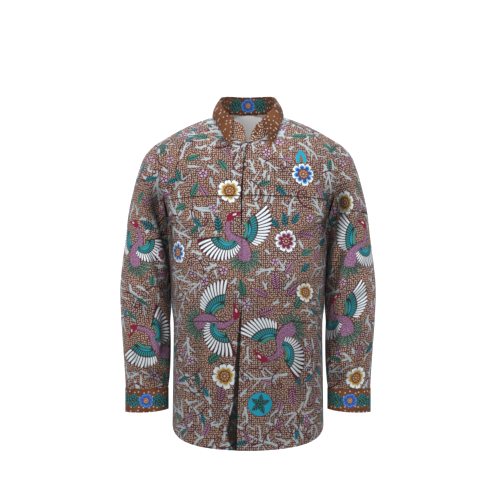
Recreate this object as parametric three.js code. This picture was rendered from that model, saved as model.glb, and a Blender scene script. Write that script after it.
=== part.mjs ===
// A man's long-sleeved batik shirt, filled out as it is on a wearer: two fronts, one back, set-in sleeves with
// lapped cuffs, and a turned-down collar on a stand. Millimetres, +Z up; the front faces -Y and the wearer's left
// is +X. The origin is the middle of the neck, level with the inner ends of the shoulders.
// Every cloth piece is a closed wall: a surface of two parameters whose points are moved half the wall each way.

import * as THREE from 'three';

const { PI, sin, cos, abs, min, max } = Math;

// Driving dimensions.
const CLOTH = 1.4;            // wall of one layer of cloth
const CUFF_WALL = 2.2;        // wall of a cuff: two layers and an interlining
const COLLAR_WALL = 1.6;      // wall of the collar's two pieces
const SEAM = 0.3;             // gap between two pieces at a seam
const ARMHOLE_SEAM = 1.4;     // the same where a sleeve turns off the body at an angle
const SQUARE = 0.04;          // how square the body's rings are, 0 being an ellipse
const HEM = -754;             // the lowest point of the hem, at the middle
const HEM_RISE = 52;          // how much higher the shirt tail is at the side seams
const UNDERARM = -246;        // height of the underarm point
const LOWER_SHARE = 0.66;     // share of a panel's upward parameter that lies below the underarm
const SHOULDER_ARCH = 9;      // how far the shoulder seam arches over a straight line
const CHEST_FILL = 12;        // how far the upper chest stands out of its straight rows
const LAP_LIFT = 5;           // how far the left front stands off the right one at the closing
const LAP_FADE = { top: -68, run: 24 };   // where that lift has died out below the neck, and over what height
const LINING = { gap: 0.9, from: 0.82, wall: 1.1 };   // the lining's gap to the back, lowest row and wall

// The body below the underarm: half its width, and how far its front and back stand from the middle.
const BODY = [
  { z: HEM, half: 174, front: 133, back: 125 },
  { z: -600, half: 172, front: 131, back: 122 },
  { z: -455, half: 171, front: 128, back: 118 },
  { z: -330, half: 177, front: 127, back: 119 },
  { z: UNDERARM, half: 184, front: 127, back: 124 },
];

// The middle lines of the front and of the back, from the underarm's height to the neck seam.
const CENTRE_FRONT = [
  { z: UNDERARM, y: -127 },
  { z: -190, y: -123 },
  { z: -130, y: -108 },
  { z: -66, y: -80 },
];
const NECK_FRONT = CENTRE_FRONT[CENTRE_FRONT.length - 1].z;
const CENTRE_BACK = [
  { z: UNDERARM, y: 124 },
  { z: -160, y: 126 },
  { z: -80, y: 113 },
  { z: -20, y: 88 },
  { z: 9, y: 72 },
];

// The two fronts' free edges: how far the left one, on top, and the right one lie from the middle at each height.
const FRONT_EDGES = [
  { z: HEM, left: -26, right: 15 },
  { z: -640, left: -23, right: 15 },
  { z: -510, left: -17, right: 15 },
  { z: -330, left: -13, right: 15 },
  { z: -150, left: -11, right: 15 },
  { z: -100, left: -6, right: 3 },
  { z: -84, left: -2, right: -4 },
  { z: -66, left: 1, right: -1 },
];

// The armhole, a tilted oval: its middle, half its height, how far its top leans out, and half its depth.
const ARMHOLE = { x: 199, z: -156, rise: 90, lean: 15, deep: 72 };

// The sleeve's rings, by length down its outer side: the outermost and innermost point of each ring, half its
// depth front to back, and how far its middle lies behind the body's middle.
const SLEEVE = [
  { down: 0, outX: 214, outZ: -66, inX: 184, inZ: -246, deep: 72, midY: 0 },
  { down: 30, outX: 235, outZ: -88, inX: 185, inZ: -250, deep: 75, midY: 0 },
  { down: 71, outX: 251, outZ: -126, inX: 186, inZ: -257, deep: 77, midY: 1 },
  { down: 122, outX: 264.5, outZ: -175, inX: 187, inZ: -270, deep: 77, midY: 2 },
  { down: 161, outX: 273, outZ: -213, inX: 187, inZ: -284, deep: 76, midY: 3 },
  { down: 226, outX: 281, outZ: -278, inX: 186, inZ: -315, deep: 73, midY: 4 },
  { down: 287, outX: 289, outZ: -338, inX: 184, inZ: -355, deep: 69, midY: 5 },
  { down: 340, outX: 294, outZ: -391, inX: 182, inZ: -398, deep: 65, midY: 5 },
  { down: 409, outX: 292, outZ: -460, inX: 180, inZ: -461, deep: 60, midY: 2 },
  { down: 466, outX: 288, outZ: -517, inX: 178, inZ: -517, deep: 55, midY: -2 },
  { down: 524, outX: 283.5, outZ: -575, inX: 179, inZ: -575, deep: 47, midY: -7 },
  { down: 561, outX: 281, outZ: -612, inX: 182, inZ: -612, deep: 37, midY: -11 },
  { down: 572, outX: 280.6, outZ: -622.7, inX: 183.4, inZ: -622.7, deep: 33, midY: -12 },
];

// The cuff: a band lapped at the back of the wrist, its lower edge higher on the inner side.
const CUFF = { x: 232, y: -12, halfWide: 49, halfDeep: 33, top: -623, bottom: -678, rise: 7, lap: 0.5 };

// The neck: half-widths of the seam oval and of the stand's top, and the seam's height as a cosine series.
const NECK = { halfX: 72, halfY: 76, y: -4, high: -17.25, tilt: 37.5, sag: -11.25 };
const STAND = { foot: 2.7, lean: 0.13, high: 22, tilt: 34, sag: -10, end: 176 * PI / 180, edgeFrom: 150 * PI / 180 };
// How the stand's top edge drops to its two ends: how far in all, and how late, as a power.
const STAND_ENDS = { drop: 33, leftPower: 2.7, rightPower: 7 };

// The turned-down collar's free edge, by degrees round the neck from the middle of the back.
const COLLAR_EDGE = [
  { round: 0, x: 0, y: 92, z: -8 },
  { round: 35, x: 52, y: 78, z: -1 },
  { round: 70, x: 80, y: 29, z: 6 },
  { round: 92, x: 81, y: -4, z: -1 },
  { round: 115, x: 71, y: -35, z: -19 },
  { round: 135, x: 55, y: -67, z: -43 },
  { round: 150, x: 39, y: -88, z: -66 },
];
const COLLAR_SPREAD = 11;     // how much further from the middle the left collar point lies than the right one
const COLLAR_TURN = 4.2;      // how far the fold carries the collar out from its stand

// The largest folds of the body, as soft troughs: from and to, in the panel's own parameters (sideways, upwards),
// with half the width in the same sideways parameter and the depth.
const FRONT_FOLDS = [
  { fromU: 0.97, fromT: 0.74, toU: 0.8, toT: 0.56, half: 0.09, deep: 7 },
  { fromU: 0.86, fromT: 0.8, toU: 0.62, toT: 0.71, half: 0.08, deep: 4 },
];
const BACK_FOLDS = [
  { fromU: 0.96, fromT: 0.74, toU: 0.7, toT: 0.5, half: 0.1, deep: 8 },
  { fromU: 0.84, fromT: 0.82, toU: 0.5, toT: 0.7, half: 0.1, deep: 5 },
];

// Buttons.
const FLY_BUTTON = { radius: 5.5, thick: 2.1, count: 6, top: -125, step: 88, seat: 0.7 };
const CUFF_BUTTON = { radius: 5.5, thick: 2.4 };

// Sleeve placket: the strip over the slit above the cuff, at the back of the wrist.
const SLEEVE_PLACKET = { halfWide: 0.24, from: 440, to: 566, round: 1.58 * PI };

// How finely each piece is divided, across and along.
const GRID = {
  front: 12, back: [11, 16, 4], sleeve: [18, 15], cuff: [22, 2], stand: [32, 3], fall: 28, placket: [2, 6], button: 10,
};

const COLOURS = {
  main: 0x85706a, border: 0x74452a, lining: 0xe9e6e0, button: 0x5a3a2a,
};

// --- small helpers ---

const mix = (a, b, k) => a + (b - a) * k;
const clamp01 = (k) => min(1, max(0, k));
const soft = (k) => clamp01(k) ** 2 * (3 - 2 * clamp01(k));
const steps = (count, from = 0, to = 1) => Array.from({ length: count + 1 }, (_, i) => mix(from, to, i / count));

// A smooth curve through one column of a table: cubic pieces whose slope at a row is that of the parabola through
// it and its two neighbours.
function curve(rows, key, column, at) {
  const span = (i) => rows[i + 1][key] - rows[i][key];
  const rate = (i) => (rows[i + 1][column] - rows[i][column]) / span(i);
  const last = rows.length - 2;
  let i = 0;
  while (i < last && at > rows[i + 1][key]) i += 1;
  const slope = (j) => {
    if (j === 0) return rate(0);
    if (j === last + 1) return rate(last);
    return (rate(j - 1) * span(j) + rate(j) * span(j - 1)) / (span(j - 1) + span(j));
  };
  const h = span(i);
  const k = (at - rows[i][key]) / h;
  const [a, b] = [rows[i][column], rows[i + 1][column]];
  return (
    a * (2 * k ** 3 - 3 * k ** 2 + 1) + b * (3 * k ** 2 - 2 * k ** 3)
    + h * slope(i) * (k ** 3 - 2 * k ** 2 + k) + h * slope(i + 1) * (k ** 3 - k ** 2)
  );
}

// The surface's unit normal by differences; out is -1 where the two parameters run left-handed.
function normalOf(at, u, t, out) {
  const step = 1e-3;
  const du = at(u + step, t).sub(at(u - step, t));
  const dt = at(u, t + step).sub(at(u, t - step));
  return du.cross(dt).normalize().multiplyScalar(out);
}

// A closed wall of cloth over at(u, t), lifted off it by lift(u, t). A closed tube joins its last column to its first,
// and the cells that open(column, row) names are left out, as in a neckline.
function wall(name, colour, at, across, along, options = {}) {
  const { thick = CLOTH, closed = false, out = 1, lift = () => 0, edge = (u) => u, open = () => false } = options;
  const columns = across.length;
  const rowCount = along.length;
  const skins = [[], []];
  for (const t of along) {
    for (const a of across) {
      const u = edge(a, t);
      const normal = normalOf(at, u, t, out);
      const middle = at(u, t).addScaledVector(normal, lift(u, t));
      skins[0].push(middle.clone().addScaledVector(normal, thick / 2));
      skins[1].push(middle.clone().addScaledVector(normal, -thick / 2));
    }
  }
  const positions = new Float32Array([...skins[0], ...skins[1]].flatMap((p) => [p.x, p.y, p.z]));
  const outer = (row, column) => row * columns + (column % columns);
  const skinSize = rowCount * columns;
  const triangles = [];
  const quad = (a, b, c, d) => triangles.push(...(out > 0 ? [a, b, c, a, c, d] : [a, c, b, a, d, c]));
  const lastColumn = closed ? columns : columns - 1;
  const borders = new Map();
  for (let r = 0; r < rowCount - 1; r += 1) {
    for (let c = 0; c < lastColumn; c += 1) {
      if (open(c, r)) continue;
      const corners = [outer(r, c), outer(r, c + 1), outer(r + 1, c + 1), outer(r + 1, c)];
      quad(...corners);
      quad(...corners.map((corner) => corner + skinSize).reverse());
      corners.forEach((from, i) => {
        const to = corners[(i + 1) % 4];
        if (!borders.delete(`${to} ${from}`)) borders.set(`${from} ${to}`, [from, to]);
      });
    }
  }
  for (const [from, to] of borders.values()) quad(to, from, from + skinSize, to + skinSize);
  const geometry = new THREE.BufferGeometry();
  geometry.setAttribute('position', new THREE.BufferAttribute(positions, 3));
  geometry.setIndex(triangles);
  return piece(name, geometry, colour, 0.85);
}

function piece(name, geometry, colour, roughness) {
  const material = new THREE.MeshStandardMaterial({ color: colour, roughness, metalness: 0 });
  const mesh = new THREE.Mesh(geometry, material);
  mesh.name = name;
  return mesh;
}

// --- the neck ---

// A point of the neck seam, at an angle round the neck from the middle of the back.
function neckSeam(round) {
  const z = NECK.high + NECK.tilt * cos(round) + NECK.sag * cos(2 * round);
  return new THREE.Vector3(NECK.halfX * sin(round), NECK.y + NECK.halfY * cos(round), z);
}

function standTop(round) {
  const past = clamp01((abs(round) - STAND.edgeFrom) / (STAND.end - STAND.edgeFrom));
  const power = round > 0 ? STAND_ENDS.leftPower : STAND_ENDS.rightPower;
  const z = STAND.high + STAND.tilt * cos(round) + STAND.sag * cos(2 * round);
  return z - STAND_ENDS.drop * past ** power;
}

// --- the body ---

const ringX = (angle) => (1 + SQUARE) * sin(angle) + SQUARE * sin(3 * angle);
const ringY = (angle) => (1 + SQUARE) * cos(angle) - SQUARE * cos(3 * angle);

// Where a panel's middle line and neck edge are at share s of the way from the underarm's height to the shoulder.
function innerEdge(side, s) {
  const { line, neckAt, from } = side;
  const height = line[line.length - 1].z;
  if (s <= neckAt) {
    const z = mix(UNDERARM, height, s / neckAt);
    return new THREE.Vector3(0, curve(line, 'z', 'y', z), z);
  }
  return neckSeam(mix(from, PI / 2, (s - neckAt) / (1 - neckAt)));
}

const FRONT = { line: CENTRE_FRONT, neckAt: 0.6, from: PI, depth: 'front', facing: -1, folds: FRONT_FOLDS };
const BACK = { line: CENTRE_BACK, neckAt: 0.72, from: 0, depth: 'back', facing: 1, folds: BACK_FOLDS };

// A point of the front or the back. Sideways, u is 0 at the middle and 1 at the side seam or armhole, and negative
// on the wearer's right; upwards, t is 0 at the hem, LOWER_SHARE at the underarm and 1 at the shoulder seam.
function bodyPoint(side, u, t) {
  const reach = abs(u);
  const angle = reach * PI / 2;
  const point = new THREE.Vector3();
  if (t <= LOWER_SHARE) {
    const up = t / LOWER_SHARE;
    const level = mix(HEM, UNDERARM, up);
    const z = level + HEM_RISE * reach ** 2 * (1 - up) ** 2;
    const half = curve(BODY, 'z', 'half', z);
    const deep = curve(BODY, 'z', side.depth, z);
    point.set(half * ringX(angle), side.facing * deep * ringY(angle), z);
  } else {
    const s = (t - LOWER_SHARE) / (1 - LOWER_SHARE);
    const start = innerEdge(side, min(1, s));
    const turn = PI * (1 - s);
    const end = new THREE.Vector3(
      ARMHOLE.x + ARMHOLE.lean * cos(turn),
      side.facing * ARMHOLE.deep * sin(turn),
      ARMHOLE.z + ARMHOLE.rise * cos(turn),
    );
    const straight = soft(s);
    const fill = side.facing * CHEST_FILL * sin(PI * clamp01(s)) * sin(PI * clamp01(reach));
    point.set(
      mix(start.x, end.x, mix(ringX(angle), reach, straight)),
      mix(start.y, end.y, mix(1 - ringY(angle), reach, straight)) + fill,
      mix(start.z, end.z, mix(reach ** 2, reach, straight)) + SHOULDER_ARCH * straight * sin(PI * clamp01(reach)),
    );
  }
  if (u < 0) point.x = -point.x;
  return point;
}

// How far the folds carry a point of a panel inwards.
function foldDepth(folds, u, t) {
  let depth = 0;
  for (const fold of folds) {
    const alongFold = clamp01((t - fold.fromT) / (fold.toT - fold.fromT));
    const centre = mix(fold.fromU, fold.toU, alongFold);
    const across = (abs(u) - centre) / fold.half;
    depth += fold.deep * sin(PI * mix(0.12, 0.95, alongFold)) * Math.exp(-across * across)
      * soft((t - fold.toT) * 12 + 1) * soft((fold.fromT - t) * 12 + 1);
  }
  return depth;
}

// The sideways parameter at a small distance x from the middle.
function besideMiddle(x, t) {
  const s = max(0, (t - LOWER_SHARE) / (1 - LOWER_SHARE));
  const half = t < LOWER_SHARE ? BODY[BODY.length - 1].half : ARMHOLE.x;
  return x / (half * mix((1 + 4 * SQUARE) * PI / 2, 1, soft(s)));
}

// The upward parameter at a height on the front's middle line, and the height at such a parameter.
function levelAt(z) {
  if (z <= UNDERARM) return LOWER_SHARE * (z - HEM) / (UNDERARM - HEM);
  return LOWER_SHARE + (1 - LOWER_SHARE) * FRONT.neckAt * (z - UNDERARM) / (NECK_FRONT - UNDERARM);
}

function heightAtMiddle(t) {
  return bodyPoint(FRONT, 0, t).z;
}

const neckT = levelAt(NECK_FRONT);
const topT = 1 - 0.0009;
const underarmGap = SEAM / 2 / 200;
const NECK_EDGE = 0.002;

// A front's free edge; above the middle of the neck the fronts end just short of the neck seam.
function freeEdge(which, t) {
  if (t >= neckT) return which === 'left' ? NECK_EDGE : -NECK_EDGE;
  return besideMiddle(curve(FRONT_EDGES, 'z', which, heightAtMiddle(t)), t);
}

// How far the left front stands off the right one: in full over the lap, and fading out towards the side.
function lapLift(u, t) {
  const fade = soft((besideMiddle(58, t) - u) / besideMiddle(40, t));
  return t < neckT ? LAP_LIFT * fade * soft((LAP_FADE.top - heightAtMiddle(t)) / LAP_FADE.run) : 0;
}

function fronts() {
  const across = GRID.front;
  const at = (u, t) => bodyPoint(FRONT, u, t);
  const rows = [
    ...steps(11, 0, LOWER_SHARE), ...steps(4, LOWER_SHARE, levelAt(-100)).slice(1), levelAt(-84),
    ...steps(6, neckT, topT),
  ];
  const left = wall('front_left', COLOURS.main, at, steps(across), rows, {
    edge: (a, t) => mix(freeEdge('left', t), 1 - underarmGap, a),
    lift: (u, t) => lapLift(u, t) - foldDepth(FRONT.folds, u, t),
  });
  const right = wall('front_right', COLOURS.main, at, steps(across), rows, {
    edge: (a, t) => mix(-1 + underarmGap, freeEdge('right', t), a),
    lift: (u, t) => -foldDepth(FRONT.folds, u, t),
  });
  return [left, right];
}

// The back, and the pale lining of its upper part, made from the back's own points moved in.
function back() {
  const at = (u, t) => bodyPoint(BACK, u, t);
  const folded = (u, t) => -foldDepth(BACK.folds, u, t);
  const half = steps(GRID.back[0], NECK_EDGE, 1 - underarmGap);
  const columns = [...half.map((u) => -u).reverse(), ...half];
  const neckRow = mix(LOWER_SHARE, 1, BACK.neckAt);
  const rows = [...steps(GRID.back[1], 0, neckRow), ...steps(GRID.back[2], neckRow, topT).slice(1)];
  const inside = (CLOTH + LINING.wall) / 2 + LINING.gap;
  const panel = (name, colour, trim, from, options) => {
    const used = rows.filter((t) => t > from);
    const middle = half.length - trim - 1;
    return wall(name, colour, at, columns.slice(trim, columns.length - trim), used, {
      out: -1, open: (c, r) => c === middle && used[r] >= neckRow, ...options,
    });
  };
  return [
    panel('back', COLOURS.main, 0, -1, { lift: folded }),
    panel('yoke_lining', COLOURS.lining, 4, LINING.from, {
      thick: LINING.wall, lift: (u, t) => folded(u, t) - inside,
    }),
  ];
}

// --- sleeves and cuffs ---

// A point of the left sleeve: round is 0 on its outer side, a quarter turn at the front, half a turn on its inner
// side; down is the length down its outer side.
function sleevePoint(round, down) {
  const row = (column) => curve(SLEEVE, 'down', column, down);
  const across = cos(round);
  return new THREE.Vector3(
    (row('outX') + row('inX')) / 2 + (row('outX') - row('inX')) / 2 * across,
    row('midY') - row('deep') * sin(round),
    (row('outZ') + row('inZ')) / 2 + (row('outZ') - row('inZ')) / 2 * across,
  );
}

function cuffPoint(round, k) {
  const low = CUFF.bottom + CUFF.rise * ((1 - cos(round)) / 2) ** 3;
  return new THREE.Vector3(
    CUFF.x + CUFF.halfWide * cos(round),
    CUFF.y - CUFF.halfDeep * sin(round),
    mix(CUFF.top, low, k),
  );
}

const mirrored = (at) => (u, t) => {
  const point = at(u, t);
  point.x = -point.x;
  return point;
};

function arm(sideName, out) {
  const place = (at) => (out > 0 ? at : mirrored(at));
  const [around, along] = GRID.sleeve;
  const lengths = steps(along, ARMHOLE_SEAM, SLEEVE[SLEEVE.length - 1].down - SEAM);
  const sleeve = wall(`sleeve_${sideName}`, COLOURS.main, place(sleevePoint),
    steps(around, 0, 2 * PI).slice(0, -1), lengths, { closed: true, out });

  const laps = steps(GRID.cuff[0], SLEEVE_PLACKET.round - CUFF.lap / 2, SLEEVE_PLACKET.round + 2 * PI + CUFF.lap / 2);
  const rise = (round) => soft((round - SLEEVE_PLACKET.round - 2 * PI + CUFF.lap / 2 + 0.6) / 0.6);
  const cuff = wall(`cuff_${sideName}`, COLOURS.border, place(cuffPoint), laps, steps(GRID.cuff[1]), {
    thick: CUFF_WALL, out, lift: (round) => (CUFF_WALL + SEAM) * rise(round),
  });

  const { round, halfWide, from, to } = SLEEVE_PLACKET;
  const placket = wall(`sleeve_placket_${sideName}`, COLOURS.main, place(sleevePoint),
    steps(GRID.placket[0], round - halfWide, round + halfWide), steps(GRID.placket[1], from, to),
    { out, lift: () => CLOTH + SEAM + 0.5 });

  const middle = place(cuffPoint)(round, 0.5);
  const outward = normalOf(place(cuffPoint), round, 0.5, out);
  middle.addScaledVector(outward, CUFF_WALL / 2 + CUFF_WALL + 2 * SEAM);
  return [sleeve, cuff, placket, button(`cuff_button_${sideName}`, middle, outward, CUFF_BUTTON)];
}

// --- collar ---

// A point of the collar stand: k is 0 at the neck seam and 1 at its top edge, which leans in.
function standPoint(round, k) {
  const foot = neckSeam(round);
  const shrink = 1 - STAND.lean * k;
  const lowest = foot.z + STAND.foot;
  return new THREE.Vector3(foot.x * shrink, NECK.y + (foot.y - NECK.y) * shrink, mix(lowest, standTop(round), k));
}

// A point of the turned-down collar: k is 0 at its inner edge above the stand, rises over the fold by k = FOLD_SHARE
// and runs out and down to the free edge at k = 1.
const FOLD_SHARE = 0.2;
function fallPoint(round, k) {
  const crest = standPoint(round, 1);
  const away = new THREE.Vector3(sin(round), cos(round), 0);
  crest.z += COLLAR_WALL + SEAM;
  const over = PI * min(1, k / FOLD_SHARE);
  const folded = crest.addScaledVector(away, COLLAR_TURN / 2 * (1 - cos(over)));
  folded.z += COLLAR_TURN / 2 * sin(over) + 0.2;
  if (k <= FOLD_SHARE) return folded;
  const degrees = min(150, abs(round) * 180 / PI);
  const side = Math.sign(round) || 1;
  const spread = round > 0 ? COLLAR_SPREAD * soft((degrees - 90) / 60) : 0;
  const edge = new THREE.Vector3(
    side * (curve(COLLAR_EDGE, 'round', 'x', degrees) + spread),
    curve(COLLAR_EDGE, 'round', 'y', degrees),
    curve(COLLAR_EDGE, 'round', 'z', degrees),
  );
  const out = (k - FOLD_SHARE) / (1 - FOLD_SHARE);
  return folded.lerp(edge, out).addScaledVector(away, 3 * sin(PI * out));
}

function collar() {
  const stand = wall('collar_stand', COLOURS.border, standPoint, steps(GRID.stand[0], -STAND.end, STAND.end),
    steps(GRID.stand[1]), { thick: COLLAR_WALL });
  const fall = wall('collar_fall', COLOURS.border, fallPoint,
    steps(GRID.fall, -STAND.edgeFrom, STAND.edgeFrom), [0, 0.1, 0.2, 0.36, 0.52, 0.76, 1],
    { thick: COLLAR_WALL, out: -1 });
  return [stand, fall];
}

// --- buttons ---

// A flat button with rounded rims and a dished face, its back at the given point.
function button(name, at, outward, { radius, thick }) {
  const profile = [
    [0, 0], [radius - 0.4, 0], [radius, 0.5], [radius - 0.4, thick], [radius - 1.8, thick], [0, thick - 0.5],
  ].map(([x, y]) => new THREE.Vector2(x, y));
  const geometry = new THREE.LatheGeometry(profile, GRID.button);
  const mesh = piece(name, geometry, COLOURS.button, 0.35);
  mesh.quaternion.setFromUnitVectors(new THREE.Vector3(0, 1, 0), outward);
  mesh.position.copy(at);
  return mesh;
}

function flyButtons() {
  const at = (u, t) => bodyPoint(FRONT, u, t);
  return Array.from({ length: FLY_BUTTON.count }, (_, i) => {
    const t = levelAt(FLY_BUTTON.top - i * FLY_BUTTON.step);
    const outward = normalOf(at, 0.01, t, 1);
    const middle = at(0.01, t).addScaledVector(outward, CLOTH / 2 + FLY_BUTTON.seat);
    return button(`fly_button_${i + 1}`, middle, outward, FLY_BUTTON);
  });
}

const shirt = new THREE.Group();
shirt.add(...fronts(), ...back(), ...arm('left', 1), ...arm('right', -1), ...collar(), ...flyButtons());

export default shirt;
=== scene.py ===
"""A man's long-sleeved batik shirt, filled out as on a wearer: cloth, print, folds and sewing.

Lengths are worked out in millimetres and put into the meshes in metres; +Z is up, the front faces -Y and the
wearer's left is +X. Each panel is a surface of two parameters, carried inwards by its folds. Its print is drawn
in flat pattern millimetres, as on the cloth before sewing, and cut into the panel as fine triangles.
"""

from math import pi

import bpy
import numpy as np
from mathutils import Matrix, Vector
from mathutils.geometry import delaunay_2d_cdt


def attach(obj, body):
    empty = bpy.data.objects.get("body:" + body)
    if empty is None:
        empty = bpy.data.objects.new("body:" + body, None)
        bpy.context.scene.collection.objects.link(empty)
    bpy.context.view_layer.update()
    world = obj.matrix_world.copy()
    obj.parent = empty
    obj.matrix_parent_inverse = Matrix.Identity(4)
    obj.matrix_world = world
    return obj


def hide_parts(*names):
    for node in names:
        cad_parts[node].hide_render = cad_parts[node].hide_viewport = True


MM = 0.001

# --- camera -----------------------------------------------------------------------------------------------------

camera_data = bpy.data.cameras.new("camera")
camera = bpy.data.objects.new("camera", camera_data)
bpy.context.scene.collection.objects.link(camera)
bpy.context.scene.camera = camera
camera_data.lens = 120
camera_data.sensor_width = 36
camera.location = (0.0046, -3.84, -0.307)
camera.rotation_euler = (pi / 2, 0, 0)

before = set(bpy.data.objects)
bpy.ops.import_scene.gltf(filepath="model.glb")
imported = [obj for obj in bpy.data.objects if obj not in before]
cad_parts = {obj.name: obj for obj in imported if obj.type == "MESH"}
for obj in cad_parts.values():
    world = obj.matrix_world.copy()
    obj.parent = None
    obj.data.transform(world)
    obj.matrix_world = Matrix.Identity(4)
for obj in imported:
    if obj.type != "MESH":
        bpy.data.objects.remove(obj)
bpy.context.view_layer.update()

# --- the cut: driving sizes, as the solid's own -----------------------------------------------------------------

CUFF_WALL = 2.2
COLLAR_WALL = 1.6
SEAM = 0.3
SQUARE = 0.04
HEM, HEM_RISE, UNDERARM, LOWER_SHARE = -754, 52, -246, 0.66
SHOULDER_ARCH, CHEST_FILL, LAP_LIFT = 9, 12, 5
LAP_TOP, LAP_RUN = -68, 24

# Body below the underarm: height, half-width, how far the front and the back stand from the middle.
BODY = np.array([(HEM, 174, 133, 125), (-600, 172, 131, 122), (-455, 171, 128, 118), (-330, 177, 127, 119),
                 (UNDERARM, 184, 127, 124)], float)
CENTRE_FRONT = np.array([(UNDERARM, -127), (-190, -123), (-130, -108), (-66, -80)], float)
CENTRE_BACK = np.array([(UNDERARM, 124), (-160, 126), (-80, 113), (-20, 88), (9, 72)], float)
# Free edges of the fronts: height, left edge, right edge from the middle.
FRONT_EDGES = np.array([(HEM, -26, 15), (-640, -23, 15), (-510, -17, 15), (-330, -13, 15), (-150, -11, 15),
                        (-100, -6, 3), (-84, -2, -4), (-66, 1, -1)], float)
ARMHOLE = dict(x=199, z=-156, rise=90, lean=15, deep=72)
# Sleeve rings: length down the outer side, outermost x and z, innermost x and z, half depth, middle y.
SLEEVE = np.array([
    (0, 214, -66, 184, -246, 72, 0), (30, 235, -88, 185, -250, 75, 0), (71, 251, -126, 186, -257, 77, 1),
    (122, 264.5, -175, 187, -270, 77, 2), (161, 273, -213, 187, -284, 76, 3), (226, 281, -278, 186, -315, 73, 4),
    (287, 289, -338, 184, -355, 69, 5), (340, 294, -391, 182, -398, 65, 5), (409, 292, -460, 180, -461, 60, 2),
    (466, 288, -517, 178, -517, 55, -2), (524, 283.5, -575, 179, -575, 47, -7), (561, 281, -612, 182, -612, 37, -11),
    (572, 280.6, -622.7, 183.4, -622.7, 33, -12)], float)
CUFF = dict(x=232, y=-12, half_wide=49, half_deep=33, top=-623, bottom=-678, rise=7, lap=0.5)
PLACKET_ROUND = 1.58 * pi
NECK = dict(half_x=72, half_y=76, y=-4, high=-17.25, tilt=37.5, sag=-11.25)
STAND = dict(foot=2.7, lean=0.13, high=22, tilt=34, sag=-10, end=176 * pi / 180, edge=150 * pi / 180)
# Free edge of the turned-down collar: degrees round the neck from the back, x, y, z.
COLLAR_EDGE = np.array([(0, 0, 92, -8), (35, 52, 78, -1), (70, 80, 29, 6), (92, 81, -4, -1), (115, 71, -35, -19),
                        (135, 55, -69, -49), (150, 39, -93, -75)], float)
COLLAR_SPREAD, COLLAR_TURN, FOLD_SHARE = 11, 4.2, 0.2


def soft(k):
    """The smooth step: three times the square less twice the cube, held between 0 and 1."""
    k = np.clip(k, 0, 1)
    return k * k * (3 - 2 * k)


def mix(a, b, k):
    """Goes straight from a to b as k goes from 0 to 1."""
    return a + (b - a) * k


def curve(table, column, at):
    """Cubic pieces through a table's column, each row's slope being that of the parabola through its neighbours."""
    keys, values = table[:, 0], table[:, column]
    span = np.diff(keys)
    rate = np.diff(values) / span
    between = (rate[:-1] * span[1:] + rate[1:] * span[:-1]) / (span[:-1] + span[1:])
    slope = np.concatenate([rate[:1], between, rate[-1:]])
    i = np.searchsorted(keys[1:-1], at)
    h = span[i]
    k = (at - keys[i]) / h
    return (values[i] * (2 * k**3 - 3 * k**2 + 1) + values[i + 1] * (3 * k**2 - 2 * k**3)
            + h * slope[i] * (k**3 - 2 * k**2 + k) + h * slope[i + 1] * (k**3 - k**2))


def neck_seam(turn):
    """The neck seam: an oval in plan whose height is a cosine series of the angle from the middle of the back."""
    return np.stack([NECK["half_x"] * np.sin(turn), NECK["y"] + NECK["half_y"] * np.cos(turn),
                     NECK["high"] + NECK["tilt"] * np.cos(turn) + NECK["sag"] * np.cos(2 * turn)], -1)


FRONT = dict(line=CENTRE_FRONT, neck_at=0.6, start=pi, deep=2, facing=-1)
BACK = dict(line=CENTRE_BACK, neck_at=0.72, start=0, deep=3, facing=1)


def body_point(side, u, t):
    """A panel of the body. Below the underarm: a quarter of a rounded ring, u being the share of the quarter turn,
    over a height that grows evenly with t and swings up to the side. Above it: lines from the panel's middle or
    neckline out to the armhole, bowed less and less as they near the straight shoulder seam."""
    u, t = np.broadcast_arrays(np.asarray(u, float), np.asarray(t, float))
    reach, facing = np.abs(u), side["facing"]
    angle = reach * pi / 2
    ring_x = (1 + SQUARE) * np.sin(angle) + SQUARE * np.sin(3 * angle)
    ring_y = (1 + SQUARE) * np.cos(angle) - SQUARE * np.cos(3 * angle)
    up = np.minimum(t / LOWER_SHARE, 1)
    z = mix(HEM, UNDERARM, up) + HEM_RISE * reach**2 * (1 - up) ** 2
    low = np.stack([curve(BODY, 1, z) * ring_x, facing * curve(BODY, side["deep"], z) * ring_y, z], -1)
    s = np.clip((t - LOWER_SHARE) / (1 - LOWER_SHARE), 0, 1.01)
    line, at = side["line"], side["neck_at"]
    mid_z = mix(UNDERARM, line[-1, 0], np.minimum(s, at) / at)
    middle = np.stack([0 * mid_z, curve(line, 1, mid_z), mid_z], -1)
    round_neck = neck_seam(mix(side["start"], pi / 2, (np.clip(s, at, 1) - at) / (1 - at)))
    start = np.where((s <= at)[..., None], middle, round_neck)
    turn = pi * (1 - s)
    end = np.stack([ARMHOLE["x"] + ARMHOLE["lean"] * np.cos(turn), facing * ARMHOLE["deep"] * np.sin(turn),
                    ARMHOLE["z"] + ARMHOLE["rise"] * np.cos(turn)], -1)
    straight = soft(s)
    share = np.stack([mix(ring_x, reach, straight), mix(1 - ring_y, reach, straight),
                      mix(reach**2, reach, straight)], -1)
    high = mix(start, end, share)
    bow = np.sin(pi * np.clip(reach, 0, 1))
    high[..., 1] += facing * CHEST_FILL * np.sin(pi * np.clip(s, 0, 1)) * bow
    high[..., 2] += SHOULDER_ARCH * straight * bow
    point = np.where((t <= LOWER_SHARE)[..., None], low, high)
    point[..., 0] *= np.where(u < 0, -1, 1)
    return point


def level_at(z):
    """The upward parameter at a height on the front's middle line."""
    low = LOWER_SHARE * (z - HEM) / (UNDERARM - HEM)
    high = LOWER_SHARE + (1 - LOWER_SHARE) * FRONT["neck_at"] * (z - UNDERARM) / (-66 - UNDERARM)
    return np.where(z <= UNDERARM, low, high)


NECK_T = float(level_at(-66))


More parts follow.
